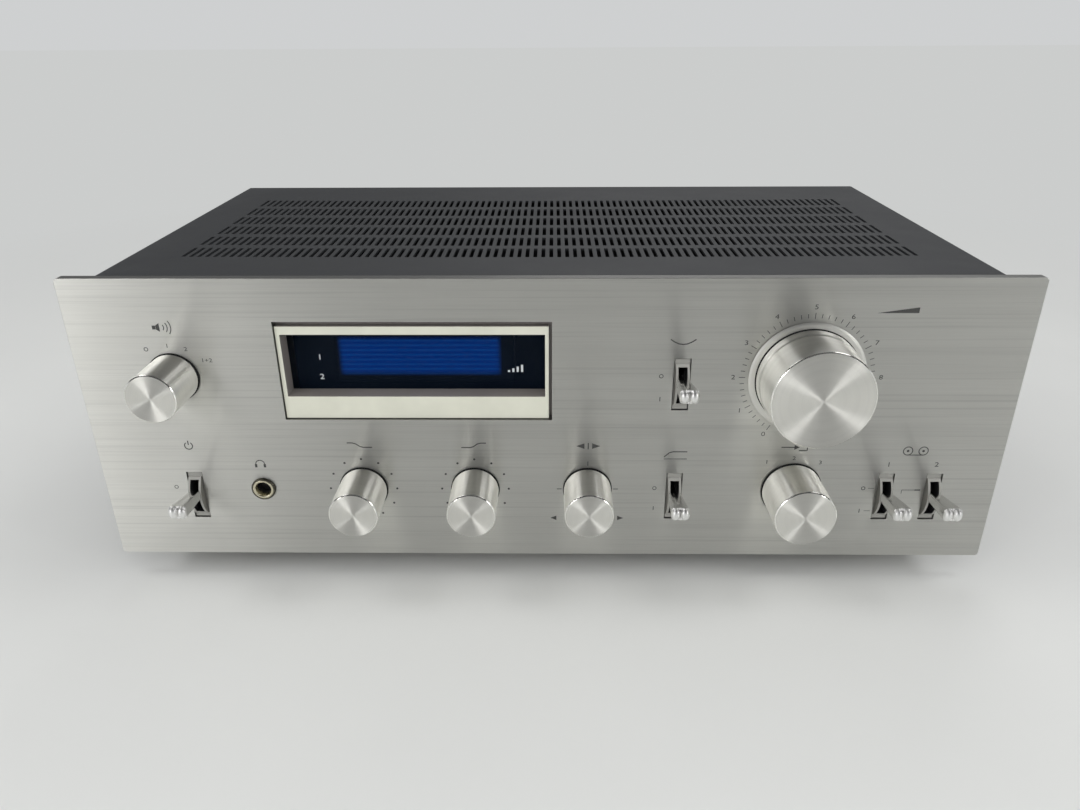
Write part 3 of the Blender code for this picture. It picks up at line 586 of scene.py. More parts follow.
def makeFloor():
    bm = bmesh.new()
    bmesh.ops.create_grid(bm, x_segments=8, y_segments=8, size=studio["floorSize"] / 2)
    colour = studio["floor"]
    finish, tree, shader = newFinish("floorPaint", colour, 0.45)
    layered(tree, shader, shade(colour, 0.97), (spots(tree, 3.0, 4.0), 1, shade(colour, 1.02)))
    # Far from the amplifier the floor turns into the plain pale background
    far = addNode(tree, "Emission", Color=(*studio["farFloor"], 1))
    place = addNode(tree, "TexCoord")
    reach = addNode(tree, "VectorMath")
    reach.operation = "LENGTH"
    tree.links.new(place.outputs["Object"], reach.inputs[0])
    fade = spread(tree, reach.outputs["Value"], 0, 1, *studio["farFade"])
    mixedSurface(tree, fade, shader.outputs["BSDF"], far.outputs["Emission"], "Material Output")
    floor = addItem("floor", meshOf(bm, "floor"))
    floor.data.materials.append(finish)


def makeWorld():
    world = bpy.data.worlds.new("studio")
    world.use_nodes = True
    bpy.context.scene.world = world
    tree = world.node_tree
    ambient = tree.nodes["Background"]
    feed(tree, ambient, Color=(*studio["ambient"], 1), Strength=studio["ambientStrength"])
    # The plain pale background; metal and glass also find the dark upper part of the room
    way = addNode(tree, "TexCoord")
    height = addNode(tree, "SeparateXYZ", Vector=way.outputs["Generated"]).outputs["Z"]
    room = studio["horizon"]
    for part in ("zenith", "ceiling"):
        room = blendColours(tree, spread(tree, height, 0, 1, *studio[f"{part}Fade"]), room, studio[part])
    ray = addNode(tree, "LightPath").outputs
    plain = blendColours(tree, ray["Is Camera Ray"], room, studio["horizon"])
    seen = addNode(tree, "Background", Color=plain)
    mirrored = combined(tree, "ADD", ray["Is Glossy Ray"], ray["Is Transmission Ray"])
    direct = combined(tree, "ADD", ray["Is Camera Ray"], mirrored)
    mixedSurface(tree, direct, ambient.outputs["Background"], seen.outputs["Background"], "World Output")


def makeLamps():
    for name, (place, size, power) in studio["lamps"].items():
        lamp = bpy.data.lights.new(name, "AREA")
        lamp.shape = "RECTANGLE"
        lamp.size, lamp.size_y = size
        lamp.energy = power
        item = addItem(name, lamp)
        item.visible_glossy = name != "floorFill"  # the fill lights the floor and the paint alone
        item.location = place
        aim = Vector(studio["lampTarget"]) - Vector(place)
        item.rotation_euler = aim.to_track_quat("-Z", "Y").to_euler()


makeCamera()
makeFloor()
makeWorld()
makeLamps()
bpy.context.scene.view_settings.view_transform = "Standard"
print("camera, floor and light ready")


# Front panel: a thick plate with an eased edge all round and crisp holes
panelLook = {
    "frontEase": 0.3 * mm,
    "holeEase": 0.12 * mm,
    "solidCorner": 2.5 * mm,
    "corner": 1.6 * mm,
    "rimWidth": 2.8 * mm,
}


def makeFrontPanel():
    bm = copyOf("front_panel")
    low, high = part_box("front_panel")
    middle = (low + high) / 2
    wide, tight = panelLook["solidCorner"], panelLook["corner"]
    # The corners are drawn out a little, as they are tighter than those of the plain solid
    for vert in bm.verts:
        arm = vert.co - middle
        across = abs(arm.x) - (high.x - middle.x - wide)
        along = abs(arm.z) - (high.z - middle.z - wide)
        if across > -1e-6 and along > -1e-6:
            vert.co.x += math.copysign((wide - tight) * (1 - across / wide), arm.x)
            vert.co.z += math.copysign((wide - tight) * (1 - along / wide), arm.z)

    def nearRim(edge):
        return all(
            min(vert.co.x - low.x, high.x - vert.co.x, vert.co.z - low.z, high.z - vert.co.z)
            < panelLook["rimWidth"] for vert in edge.verts
        )

    def onFront(edge):
        return all(abs(vert.co.y - low.y) < 1e-5 for vert in edge.verts)

    soften(bm, panelLook["frontEase"], 3, 30, lambda edge: nearRim(edge) and onFront(edge))
    soften(bm, panelLook["holeEase"], 1, 60, lambda edge: onFront(edge) and not nearRim(edge))
    # Edges and back get the darker finish, a painted shade
    for face in bm.faces:
        if face.normal.y > -0.5:
            face.material_index = 1
    flatMap(bm, "brushing")
    makePiece("frontPanel", bm, [panelMetal, edgeShadeMetal], "front_panel", 30, True)


makeFrontPanel()
print("front panel ready")


# Cover: folded sheet with six rows of narrow slots in its top
coverLook = {
    "slotsPerRow": 92,
    "rows": 6,
    "rowPitch": 20.46 * mm,
    "lastRowDepth": 142.6 * mm,
    "rowWidth": 309 * mm,
    "slotWidth": 1.65 * mm,
    "slotLength": 15.2 * mm,
    "slotRound": 0.35 * mm,
    "sheet": 1.0 * mm,
    "bend": 2.2 * mm,
    "bendSteps": 6,
    "sag": 1.2 * mm,
    "topBand": 0.1 * mm,
}


def slottedSheet(low, high):
    # A grid whose narrow cells are taken out as slots
    look = coverLook
    edgeX = high.x - look["bend"]
    pitch = look["rowWidth"] / look["slotsPerRow"]
    left = -look["rowWidth"] / 2
    across = [-edgeX]
    for slot in range(look["slotsPerRow"]):
        centre = left + (slot + 0.5) * pitch
        across += [centre - look["slotWidth"] / 2, centre + look["slotWidth"] / 2]
    across.append(edgeX)
    rowMiddles = [faceY + look["lastRowDepth"] - look["rowPitch"] * row for row in range(look["rows"])][::-1]
    along = [low.y]
    for middle in rowMiddles:
        along += [middle - look["slotLength"] / 2, middle + look["slotLength"] / 2]
    along.append(high.y)

    bm = bmesh.new()
    line = [bm.verts.new((x, along[0], high.z)) for x in across]
    edges = [bm.edges.new(pair) for pair in zip(line, line[1:])]
    for depth, nextDepth in zip(along, along[1:]):
        grown = bmesh.ops.extrude_edge_only(bm, edges=edges)
        verts = set(vertsOf(grown))
        edges = [item for item in grown["geom"] if isinstance(item, bmesh.types.BMEdge)]
        edges = [edge for edge in edges if verts.issuperset(edge.verts)]
        bmesh.ops.translate(bm, vec=(0, nextDepth - depth, 0), verts=list(verts))

    def inSlot(face):
        centre = face.calc_center_median()
        inRow = any(abs(centre.y - middle) < look["slotLength"] / 4 for middle in rowMiddles)
        column = (centre.x - left) / pitch
        return inRow and 0 < column < look["slotsPerRow"] and abs(column % 1 - 0.5) < 0.1

    holes = [face for face in bm.faces if inSlot(face)]
    corners = {vert for face in holes for vert in face.verts}
    bmesh.ops.delete(bm, geom=holes, context="FACES_ONLY")
    bmesh.ops.bevel(
        bm, geom=list(corners), offset=look["slotRound"], offset_type="OFFSET", segments=2, profile=0.5,
        affect="VERTICES", clamp_overlap=True, material=-1,
    )
    return bm


def makeCover():
    look = coverLook
    low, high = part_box("top_cover")
    bm = slottedSheet(low, high)
    foldTop = high.z - look["bend"]
    for side in (-1, 1):
        edgeX = side * (high.x - look["bend"])
        rim = [e for e in bm.edges if all(abs(vert.co.x - edgeX) < 1e-6 for vert in e.verts)]
        bmesh.ops.spin(
            bm, geom=rim, cent=(edgeX, 0, foldTop), axis=(0, side, 0),
            angle=math.pi / 2, steps=look["bendSteps"], use_duplicate=False,
        )
        fold = [
            e for e in bm.edges if all(
                abs(vert.co.x - side * high.x) < 1e-6 and abs(vert.co.z - foldTop) < 1e-6 for vert in e.verts
            )
        ]
        grown = bmesh.ops.extrude_edge_only(bm, edges=fold)
        bmesh.ops.translate(bm, vec=(0, 0, low.z - foldTop), verts=vertsOf(grown))
    bmesh.ops.remove_doubles(bm, verts=bm.verts, dist=1e-6)
    bmesh.ops.recalc_face_normals(bm, faces=bm.faces)
    top = max(bm.faces, key=lambda face: face.calc_area() if abs(face.normal.z) > 0.9 else 0)
    if top.normal.z < 0:
        bmesh.ops.reverse_faces(bm, faces=bm.faces)
    # The slotted field of a thin sheet sags a little between its edges
    for vert in bm.verts:
        if vert.co.z > high.z - look["topBand"]:
            depth = (vert.co.y - low.y) / (high.y - low.y)
            vert.co.z -= look["sag"] * (1 - (vert.co.x / high.x) ** 2) * math.sin(math.pi * depth)
    bmesh.ops.solidify(bm, geom=bm.faces[:], thickness=look["sheet"])
    bmesh.ops.recalc_face_normals(bm, faces=bm.faces)
    makePiece("cover", bm, [coverPaint], "top_cover")


makeCover()
print("cover ready")


# Knobs: a plain turned side, a bright rim and a spun face; the volume knob has a collar with a fine groove
# Sizes are in millimetres, and the profile is drawn from the knob's face
knobLook = {
    "collar": 4.0,
    "collarStep": 0.6,
    "groove": 0.35,
    "rim": 0.4,
    "ease": 0.15,
    "boreRadius": 3.3,
    "boreDepth": 14.0,
    "steps": {"speakers": 96, "bass": 96, "treble": 96, "balance": 96, "function": 112, "volume": 160},
}


def knobProfile(collar, depth, stepped):
    # From the bottom of the bore round to the middle of the face
    look = knobLook
    bore, ease, rim, groove = look["boreRadius"], look["ease"], look["rim"], look["groove"]
    radius = collar
    profile = [(0, depth - look["boreDepth"]), (bore, depth - look["boreDepth"]), (bore, depth)]
    profile += [(collar - ease, depth), (collar, depth - ease)]
    if stepped:
        radius = collar - look["collarStep"]
        end = depth - look["collar"]
        sunk = radius - groove
        profile += [
            (collar, end + ease), (collar - ease, end), (sunk, end - 0.05), (sunk, end - groove),
            (radius - 0.05, end - groove - 0.1), (radius, end - groove - 0.25),
        ]
    return profile + [
        (radius, rim), (radius - 0.06, rim - 0.1), (radius - rim + 0.08, 0.06), (radius - rim, 0), (0, 0)
    ]


def makeKnobs():
    for name, steps in knobLook["steps"].items():
        node = f"{name}_knob"
        low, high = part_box(node)
        profile = knobProfile((high.z - low.z) / 2 / mm, (high.y - low.y) / mm, name == "volume")
        bm = spun(inMm(profile, low.y), steps, controlAxis(name))
        for face in bm.faces:
            if face.normal.y < -0.95:
                face.material_index = 1
            elif face.normal.y < -0.3 and face.calc_center_median().y < low.y + knobLook["rim"] * mm:
                face.material_index = 2
        polarMap(bm, controlAxis(name))
        makePiece(f"{name}Knob", bm, [knobSide, knobFace, knobRim], node, 25)
        dress(f"{name}_shaft", nickel)


makeKnobs()
print("knobs ready")


# Ring round the volume knob: flat, with a sloping rim
ringLook = {"bore": 19 * mm, "slope": 1.1 * mm, "ease": 0.1 * mm, "easeDepth": 0.04 * mm, "steps": 160}


def makeVolumeRing():
    low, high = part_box("volume_ring")
    front, back, outer = low.y, high.y, (high.z - low.z) / 2
    bore, inner, ease = ringLook["bore"], outer - ringLook["slope"], ringLook["ease"]
    profile = (
        (bore, back), (outer, back), (outer, back - ease), (inner + ease, front + ringLook["easeDepth"]),
        (inner - ease, front), (bore, front), (bore, back),
    )
    bm = spun(profile, ringLook["steps"], controlAxis("volume"))
    polarMap(bm, controlAxis("volume"))
    makePiece("volumeRing", bm, [ringMetal], "volume_ring", 30)


# Black discs fill the gap between each knob and the panel: painted shade, standing in for the shadow in that
# gap
gapShadeLook = {
    "overhang": 0.4 * mm,
    "bore": 4.6 * mm,
    "ease": 0.1 * mm,
    "gap": 0.12 * mm,
    "ringHeight": 0.95 * mm,
    "steps": 72,
}


def makeSeats():
    washers = []
    bore, ease = gapShadeLook["bore"], gapShadeLook["ease"]
    for name in knobLook["steps"]:
        low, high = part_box(f"{name}_knob")
        radius = (high.z - low.z) / 2 + gapShadeLook["overhang"]
        front = high.y + gapShadeLook["gap"]
        back = faceY - gapShadeLook["ringHeight" if name == "volume" else "gap"]
        profile = (
            (bore, back), (radius, back), (radius, front + ease), (radius - ease, front), (bore, front),
            (bore, back),
        )
        washers.append(spun(profile, gapShadeLook["steps"], controlAxis(name)))
    makePiece("knobGapShades", joined(washers), [gapShadeBlack])


makeVolumeRing()
makeSeats()
print("ring and felts ready")


# Levers: a flat bar that widens to two domes side by side, on a tab with its pivot
leverLook = {
    "tilt": 7.5,
    "root": 13.9 * mm,
    "reach": 31.8 * mm,
    "rootSize": (5.2 * mm, 4.2 * mm),
    "tipSize": (7.5 * mm, 5.5 * mm),
    "rootEase": 0.2 * mm,
    "rootShare": 0.9,
    "dome": 1.8 * mm,
    "domeRings": 6,
    "valley": 0.35,
    "squareness": 3.4,
    "points": 48,
    "tab": (2.0 * mm, 1.6 * mm),
    "tabOverlap": 2.0 * mm,
    "pegEase": 0.15 * mm,
    "pegs": ((1.9 * mm, 2.0 * mm, 32), (1.0 * mm, 6.6 * mm, 24)),  # radius, length and steps of hub and pin
}


def lobedRing(bm, distance, width, thickness, shrink=1.0, dome=0.0):
    # A circle drawn into the outline of two lobes side by side, with a shallow valley between them
    ring = bmesh.ops.create_circle(bm, segments=leverLook["points"], radius=1.0)["verts"]
    power = leverLook["squareness"]
    lobe, deep = width / 4, thickness / 2
    for vert in ring:
        angle = math.atan2(vert.co.y, vert.co.x)
        x = math.cos(angle) * width / 2
        beyond = (abs(x) - lobe) / lobe
        if beyond < 0:
            beyond *= leverLook["valley"]
        z = math.copysign(deep * max(1 - abs(beyond) ** power, 0) ** (1 / power), math.sin(angle))
        if abs(math.sin(angle)) < 1e-6:
            z = 0
        spine = max(-lobe, min(lobe, x))
        x = spine + (x - spine) * shrink
        z *= shrink
        away = math.hypot((abs(x) - lobe) / lobe, z / deep)
        rise = math.sqrt(max(1 - away ** 2, 0)) * dome
        vert.co = (x, -distance - rise, z)
    return list({edge for vert in ring for edge in vert.link_edges})


def makeLeverShape():
    look = leverLook
    dome, root = look["dome"], look["root"]
    tip = look["reach"] / math.cos(math.radians(look["tilt"])) - dome
    bm = bmesh.new()
    loops = [
        lobedRing(bm, root, *(size * look["rootShare"] for size in look["rootSize"])),
        lobedRing(bm, root + look["rootEase"], *look["rootSize"]),
        lobedRing(bm, tip, *look["tipSize"]),
    ]
    for step in range(1, look["domeRings"] + 1):
        shrink = max(math.cos(step / look["domeRings"] * math.pi / 2), 0.0)
        loops.append(lobedRing(bm, tip, *look["tipSize"], shrink, dome))
    for first, second in zip(loops, loops[1:]):
        bmesh.ops.bridge_loops(bm, edges=first + second)
    bmesh.ops.contextual_create(bm, geom=loops[0])
    bmesh.ops.remove_doubles(bm, verts=bm.verts, dist=1e-7)
    bmesh.ops.recalc_face_normals(bm, faces=bm.faces)
    # The domes get the brighter tip finish, a painted highlight
    for face in bm.faces:
        if face.calc_center_median().y < -tip:
            face.material_index = 1

    shapes = [bm]
    for radius, length, steps in look["pegs"]:
        end = length / 2
        peg = spun(((0, -end), (radius, -end), (radius, end), (0, end)), steps, axis="X")
        shapes.append(soften(peg, look["pegEase"]))
    wide, thick = look["tab"]
    low, high = (-wide / 2, -root - look["tabOverlap"], -thick / 2), (wide / 2, 0, thick / 2)
    shapes.append(block(low, high, look["pegEase"]))
    return joined(shapes)


def makeLevers():
    for name in switchNames:
        bm = makeLeverShape()
        bm.transform(Matrix.Rotation(math.radians(-leverLook["tilt"]), 4, "X"))
        bm.transform(Matrix.Translation(axisPlace[f"{name}_switch"]))
        makePiece(f"{name}Lever", bm, [leverChrome, leverTipHighlight], f"{name}_lever", 40)


makeLevers()
print("levers ready")


# Switch plates: an arch with a slot, in a shallow frame
plateLook = {
    "ease": 0.15 * mm,
    "archSide": 2.8 * mm,
    "slotSide": 1.8 * mm,
    "slotEnd": 7.9 * mm,
    "near": 0.15 * mm,
    "wallNear": 0.1 * mm,
}


def makeSwitchPlates():
    look = plateLook
    for name in switchNames:
        node = f"{name}_switch_plate"
        bm = soften(copyOf(node), look["ease"], 2, 35)
        low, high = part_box(node)
        for face in bm.faces:
            spot = face.calc_center_median() - (low + high) / 2
            x, z = abs(spot.x), abs(spot.z)
            # The arch's side walls get the darker plastic, a painted shade
            if abs(face.normal.x) > 0.7 and abs(x - look["archSide"]) < 2 * look["near"]:
                face.material_index = 1
            inside = x < look["slotSide"] + look["near"] and z < look["slotEnd"] + look["near"]
            atWall = min(abs(x - look["slotSide"]), abs(z - look["slotEnd"])) < look["wallNear"]
            if inside and atWall and abs(face.normal.y) < 0.3:
                face.material_index = 2
        finishes = [platePlastic, archShadePlastic, blackPlastic]
        makePiece(f"{name}Plate", bm, finishes, node, 35, True)
        dress(f"{name}_switch_body", blackPlastic)


makeSwitchPlates()
print("switch plates ready")


# Headphone socket: a rolled nut, a nickel bush and the dark bore, in millimetres from the panel's face
socketLook = {
    "nut": (
        (4.45, -0.3), (5.1, -0.3), (5.1, -0.9), (4.98, -1.18), (4.7, -1.3), (4.5, -1.3), (4.45, -1.2),
        (4.45, -0.3),
    ),
    "bush": (
        (3.25, 14.15), (3.25, -0.9), (3.5, -1.22), (3.7, -1.3), (4.3, -1.3), (4.4, -1.2), (4.4, -0.35),
        (4.1, -0.3), (4.1, 4.1), (4.4, 4.3), (4.4, 14.15), (3.25, 14.15),
    ),
    "lining": (3.1, 3.2),
    "liningFront": 2.0,
    "liningEnd": 0.3,
    "liningFloor": 0.1,
    "caseFront": 4.3,
    "caseEase": 0.4,
    "steps": 72,
    "liningSteps": 48,
}


def makeSocket():
    look = socketLook
    low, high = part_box("phones_jack")
    centre = middleOf("phones_jack")
    for name, finish in (("nut", darkNut), ("bush", agedNickel)):
        shape = spun(inMm(look[name], faceY), look["steps"], centre)
        makePiece(f"socket{name.capitalize()}", shape, [finish], None, 50)
    case = block((low.x, faceY + look["caseFront"] * mm, low.z), high, look["caseEase"] * mm)
    inner, outer = look["lining"]
    front, end = look["liningFront"], (high.y - faceY) / mm - look["liningEnd"]
    floor = end - look["liningFloor"]
    profile = ((0, floor), (inner, floor), (inner, front), (outer, front), (outer, end), (0, end))
    lining = spun(inMm(profile, faceY), look["liningSteps"], centre)
    makePiece("socketCase", joined([case, lining]), [blackPlastic], "phones_jack", 50)


makeSocket()
print("headphone socket ready")


# Display: cream bezel with a grey-brown tunnel painted as shade, smoked pane and blue filter with a painted
# glow
displayLook = {
    "bezelEase": 0.15 * mm,
    "paneEase": 0.15 * mm,
    "filterEase": 0.3 * mm,
    "backFrom": 3 * mm,
    "lip": 0.4 * mm,
    "sides": (3 * mm, 3.2 * mm),
    "wall": 1.5 * mm,
    "ends": (4 * mm, 3 * mm),
}


def makeDisplay():
    look = displayLook
    bm = soften(copyOf("display_bezel"), look["bezelEase"], 2, 35)
    low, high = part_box("display_bezel")
    for face in bm.faces:
        centre = face.calc_center_median()
        level = abs(face.normal.y) < 0.3 and low.x + look["sides"][0] < centre.x < high.x - look["sides"][1]
        upright = abs(face.normal.x) > 0.9 and look["wall"] < min(centre.x - low.x, high.x - centre.x)
        behindLip = centre.y > low.y + look["lip"]
        between = low.z + look["ends"][0] < centre.z < high.z - look["ends"][1]
        # Faces behind the front, and the tunnel walls behind the lip, get the darker plastic as painted shade
        if centre.y > faceY + look["backFrom"] or ((level or upright) and behindLip and between):
            face.material_index = 1
    makePiece("displayBezel", bm, [creamPlastic, tunnelShadePlastic], "display_bezel", 35, True)
    for name, node, ease, finish, slotName in (
        ("displayPane", "display_window", look["paneEase"], glassPane, "smoked_glass"),
        ("displayFilter", "display_tube", look["filterEase"], glowingFilter, "display_blue"),
    ):
        makePiece(name, soften(copyOf(node), ease), [finish], node, 35, True)
    # The board behind the pane gets the same filter, with its painted glow
    dress("display_board", glowingFilter)


makeDisplay()
print("display ready")


# Printed marks: thin raised ink, with its sizes in millimetres
inkLook = {"lift": 0.01, "thickness": 0.03, "lineWidth": 0.44, "numeralSize": 1.38, "numeralStretch": 1.25}


class Ink:
    # Draws bars, arcs, dots and numerals in millimetres on a plane that faces the front
    def __init__(self, plane):
        self.bm = bmesh.new()
        self.back = plane - inkLook["lift"] * mm
        self.thickness = inkLook["thickness"] * mm
        self.middle = self.back - self.thickness / 2
        self.origin = (0, 0)

    def at(self, x, height):
        # What follows is drawn from here: across from the panel's middle and up from its lower edge
        self.origin = (x, height)

    def place(self, point, depth):
        x, height = self.origin[0] + point[0], self.origin[1] + point[1]
        return Vector((x * mm, depth, baseZ + height * mm))

    def bar(self, start, end, width):
        verts = bmesh.ops.create_cube(self.bm, size=1)["verts"]
        size = (math.dist(start, end) * mm, self.thickness, width * mm)
        slope = math.atan2(end[1] - start[1], end[0] - start[0])
        bmesh.ops.scale(self.bm, vec=size, verts=verts)
        bmesh.ops.rotate(self.bm, cent=(0, 0, 0), matrix=Matrix.Rotation(-slope, 3, "Y"), verts=verts)
        middle = ((start[0] + end[0]) / 2, (start[1] + end[1]) / 2)
        bmesh.ops.translate(self.bm, vec=self.place(middle, self.middle), verts=verts)

    def line(self, points):
        for start, end in zip(points, points[1:]):
            self.bar(start, end, inkLook["lineWidth"])

    def arc(self, centre, radius, start, end, width, steps=20):
        # Angles in degrees, from the right and towards the top
        first = math.radians(start)
        corners = []
        for reach, depth in (
            (radius - width / 2, 0), (radius - width / 2, self.thickness),
            (radius + width / 2, self.thickness), (radius + width / 2, 0),
        ):
            point = (centre[0] + reach * math.cos(first), centre[1] + reach * math.sin(first))
            corners.append(self.bm.verts.new(self.place(point, self.back - depth)))
        face = self.bm.faces.new(corners)
        bmesh.ops.spin(
            self.bm, geom=[face], cent=self.place(centre, 0), axis=(0, -1, 0), steps=steps,
            angle=math.radians(end - start), use_duplicate=False, use_merge=abs(end - start) >= 360,
        )

    def disc(self, centre, radius, steps):
        cap = bmesh.ops.create_circle(self.bm, cap_ends=True, segments=steps, radius=radius * mm)["verts"]
        bmesh.ops.rotate(self.bm, cent=(0, 0, 0), matrix=Matrix.Rotation(math.pi / 2, 3, "X"), verts=cap)
        bmesh.ops.translate(self.bm, vec=self.place(centre, self.back), verts=cap)
        self.raiseFace(cap[0].link_faces[0])

    def patch(self, *corners):
        verts = [self.bm.verts.new(self.place(corner, self.back)) for corner in corners]
        self.raiseFace(self.bm.faces.new(verts))

    def raiseFace(self, face):
        grown = bmesh.ops.extrude_face_region(self.bm, geom=[face], use_keep_orig=True)
        bmesh.ops.translate(self.bm, vec=(0, -self.thickness, 0), verts=vertsOf(grown))

    def numeral(self, words, centre, height):
        curve = bpy.data.curves.new("numeral", "FONT")
        curve.body = words
        curve.size = height * inkLook["numeralSize"] * mm
        curve.align_x = "CENTER"
        curve.align_y = "CENTER"
        curve.extrude = self.thickness / 2
        curve.resolution_u = 3
        mesh = meshFrom(addItem("numeral", curve))
        upright = Matrix.Rotation(math.pi / 2, 4, "X") @ Matrix.Diagonal((inkLook["numeralStretch"], 1, 1, 1))
        mesh.transform(Matrix.Translation(self.place(centre, self.middle)) @ upright)
        self.bm.from_mesh(mesh)
        bpy.data.curves.remove(curve)
        bpy.data.meshes.remove(mesh)

    def finish(self, name, material):
        bmesh.ops.remove_doubles(self.bm, verts=self.bm.verts, dist=1e-7)
        bmesh.ops.recalc_face_normals(self.bm, faces=self.bm.faces)
        makePiece(name, self.bm, [material], None, 30)


def around(degrees, radius):
    return (radius * math.cos(math.radians(degrees)), radius * math.sin(math.radians(degrees)))


# Places of the marks: across from the panel's middle and up from its lower edge, in millimetres
markPlaces = {
    "volume": (103.9, 85.4),
    "tone": ((-78.6, 33.5), (-30.7, 33.5)),
    "balance": (17.2, 33.5),
    "numerals": (
        ("1", (-151.0, 98.8), 1.7), ("2", (-143.8, 97.4), 1.7), ("1+2", (-136.2, 92.6), 1.7),
        ("1", (92.2, 46.8), 1.8), ("2", (103.4, 48.6), 1.8), ("3", (114.6, 46.6), 1.8),
        ("1", (143.3, 45.7), 2.2), ("2", (163.2, 45.7), 2.2),
    ),
    "off": ((-159.7, 97.4), (134.4, 34.2), (45.8, 34.0), (45.8, 85.9), (-159.6, 34.0)),
    "on": ((134.4, 23.0), (45.8, 24.0), (45.8, 75.8), (-159.6, 24.0)),
    "tapeLines": (
        ((136.4, 34.2), (139.0, 34.2), 0.18), ((136.4, 23.0), (139.0, 23.0), 0.18),
        ((150.8, 33.4), (156.8, 33.4), 0.2), ((150.8, 33.4), (150.8, 31.6), 0.2),
        ((156.2, 33.4), (158.6, 33.4), 0.5),
    ),
    "windowNumerals": (("1", (-93.5, 90.1), 2.4), ("2", (-93.5, 81.4), 2.4)),
    "windowBars": (-13.0, 85.2),
}

# The round scales, in degrees from the right and towards the top, and in millimetres
scaleLook = {
    "start": 240,
    "tickStep": 6,
    "shortTick": (25.0, 26.7),
    "longTick": (24.6, 27.1),
    "tickWidth": 0.24,
    "numeralStep": 30,
    "numeral": (29.4, 2.0),  # radius of the row and height
    "dot": (14.3, 0.48, 14),  # radius of the row, radius and steps
    "off": (0.75, 0.28),  # radius and line width
    "on": (0.95, 0.34),  # half the length and width
}


def drawScales(ink):
    look = scaleLook
    start, wideStep = look["start"], look["numeralStep"]
    # Volume: eleven numerals with fine ticks between them
    ink.at(*markPlaces["volume"])
    for step in range(51):
        angle = start - step * look["tickStep"]
        inner, outer = look["shortTick"] if step % 5 else look["longTick"]
        ink.bar(around(angle, inner), around(angle, outer), look["tickWidth"])
    reach, height = look["numeral"]
    for number in range(11):
        ink.numeral(str(number), around(start - number * wideStep, reach), height)
    # Tone: eleven dots each
    reach, radius, corners = look["dot"]
    for place in markPlaces["tone"]:
        ink.at(*place)
        for step in range(11):
            ink.disc(around(start - step * wideStep, reach), radius, corners)
    # Balance: a tick at each side and at the top, and the two end arrows
    ink.at(*markPlaces["balance"])
    for side in (-1, 1):
        ink.bar((side * 11.0, 0), (side * 13.0, 0), 0.3)
        ink.patch((side * 15.8, -14.6), (side * 13.2, -13.5), (side * 13.2, -15.7))
    ink.bar((0, 11.4), (0, 13.4), 0.3)
    # Numbered positions, off and on, and the fine lines beside the tape levers
    ink.at(0, 0)
    for words, place, size in markPlaces["numerals"]:
        ink.numeral(words, place, size)
    radius, width = look["off"]
    for place in markPlaces["off"]:
        ink.arc(place, radius, 0, 360, width)
    half, width = look["on"]
    for x, height in markPlaces["on"]:
        ink.bar((x, height - half), (x, height + half), width)
    for start, end, width in markPlaces["tapeLines"]:
        ink.bar(start, end, width)


def drawPictures(ink):
    # Plain pictures stand where each control is named; first the speakers, with a horn and its waves
    ink.at(-150.8, 106.6)
    ink.patch((-4.6, -0.8), (-3.3, -0.8), (-3.3, 0.8), (-4.6, 0.8))
    ink.patch((-3.2, -0.8), (-1.7, -1.8), (-1.7, 1.8), (-3.2, 0.8))
    for reach in (1.8, 3.2, 4.6):
        ink.arc((-1.8, 0), reach, -36, 36, 0.36, 10)
    ink.at(-150.7, 54.0)  # power
    ink.arc((0, 0), 1.65, 125, 415, 0.42, 24)
    ink.bar((0, 0.4), (0, 2.4), 0.42)
    ink.at(-121.7, 45.2)  # headphones
    ink.arc((0, 0), 1.9, 0, 180, 0.36, 16)
    for side in (-1, 1):
        ink.bar((side * 1.85, -1.5), (side * 1.85, 0.1), 0.95)
    shelf = ((-5.2, 1.3), (-3.0, 1.3), (-1.6, 0.9), (0.2, -0.4), (1.6, -0.8), (5.2, -0.8))
    for x, way in ((-78.6, 1), (-30.7, -1)):  # bass and treble
        ink.at(x, 54.2)
        ink.line([(way * along, height) for along, height in shelf])
    ink.at(17.2, 54.2)  # balance
    for side in (-1, 1):
        ink.patch((side * 5.0, 0), (side * 1.6, 1.3), (side * 1.6, -1.3))
    ink.bar((0, -1.5), (0, 1.5), 0.44)
    ink.at(53.7, 100.2)  # loudness
    ink.line(((-5.0, 1.4), (-3.4, 0.3), (-1.6, -0.5), (0, -0.7), (1.6, -0.5), (3.4, 0.3), (5.0, 1.4)))
    ink.at(53.8, 50.6)  # subsonic filter
    ink.line(((-4.8, -1.5), (-2.6, 0.6), (-1.2, 1.0), (4.8, 1.0)))
    ink.bar((-4.8, -2.4), (4.8, -2.4), 0.3)
    ink.at(135.4, 113.4)  # volume
    ink.patch((-8.0, -1.0), (8.0, -1.0), (8.0, 1.3))
    ink.at(103.9, 53.8)  # function
    ink.bar((-6.4, 0), (-0.6, 0), 0.44)
    ink.patch((1.2, 0), (-1.0, 1.1), (-1.0, -1.1))
    ink.line(((1.0, 1.5), (4.4, 1.5), (4.4, -1.5), (1.0, -1.5)))
    ink.at(153.3, 52.2)  # tape
    for side in (-1, 1):
        ink.arc((side * 3.2, 0), 1.9, 0, 360, 0.38, 24)
        ink.disc((side * 3.2, 0), 0.55, 12)
    ink.bar((-3.2, -1.9), (3.2, -1.9), 0.38)


def makeMarks():
    ink = Ink(faceY)
    drawScales(ink)
    drawPictures(ink)
    ink.finish("panelMarks", darkInk)
    glass = Ink(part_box("display_window")[0].y)
    for words, place, size in markPlaces["windowNumerals"]:
        glass.numeral(words, place, size)
    glass.at(*markPlaces["windowBars"])
    for step in range(4):
        x = -2.7 + 1.8 * step
        glass.bar((x, -1.6), (x, -0.8 + 0.8 * step), 0.9)
    glass.finish("windowMarks", paleInk)


makeMarks()
print("marks ready")


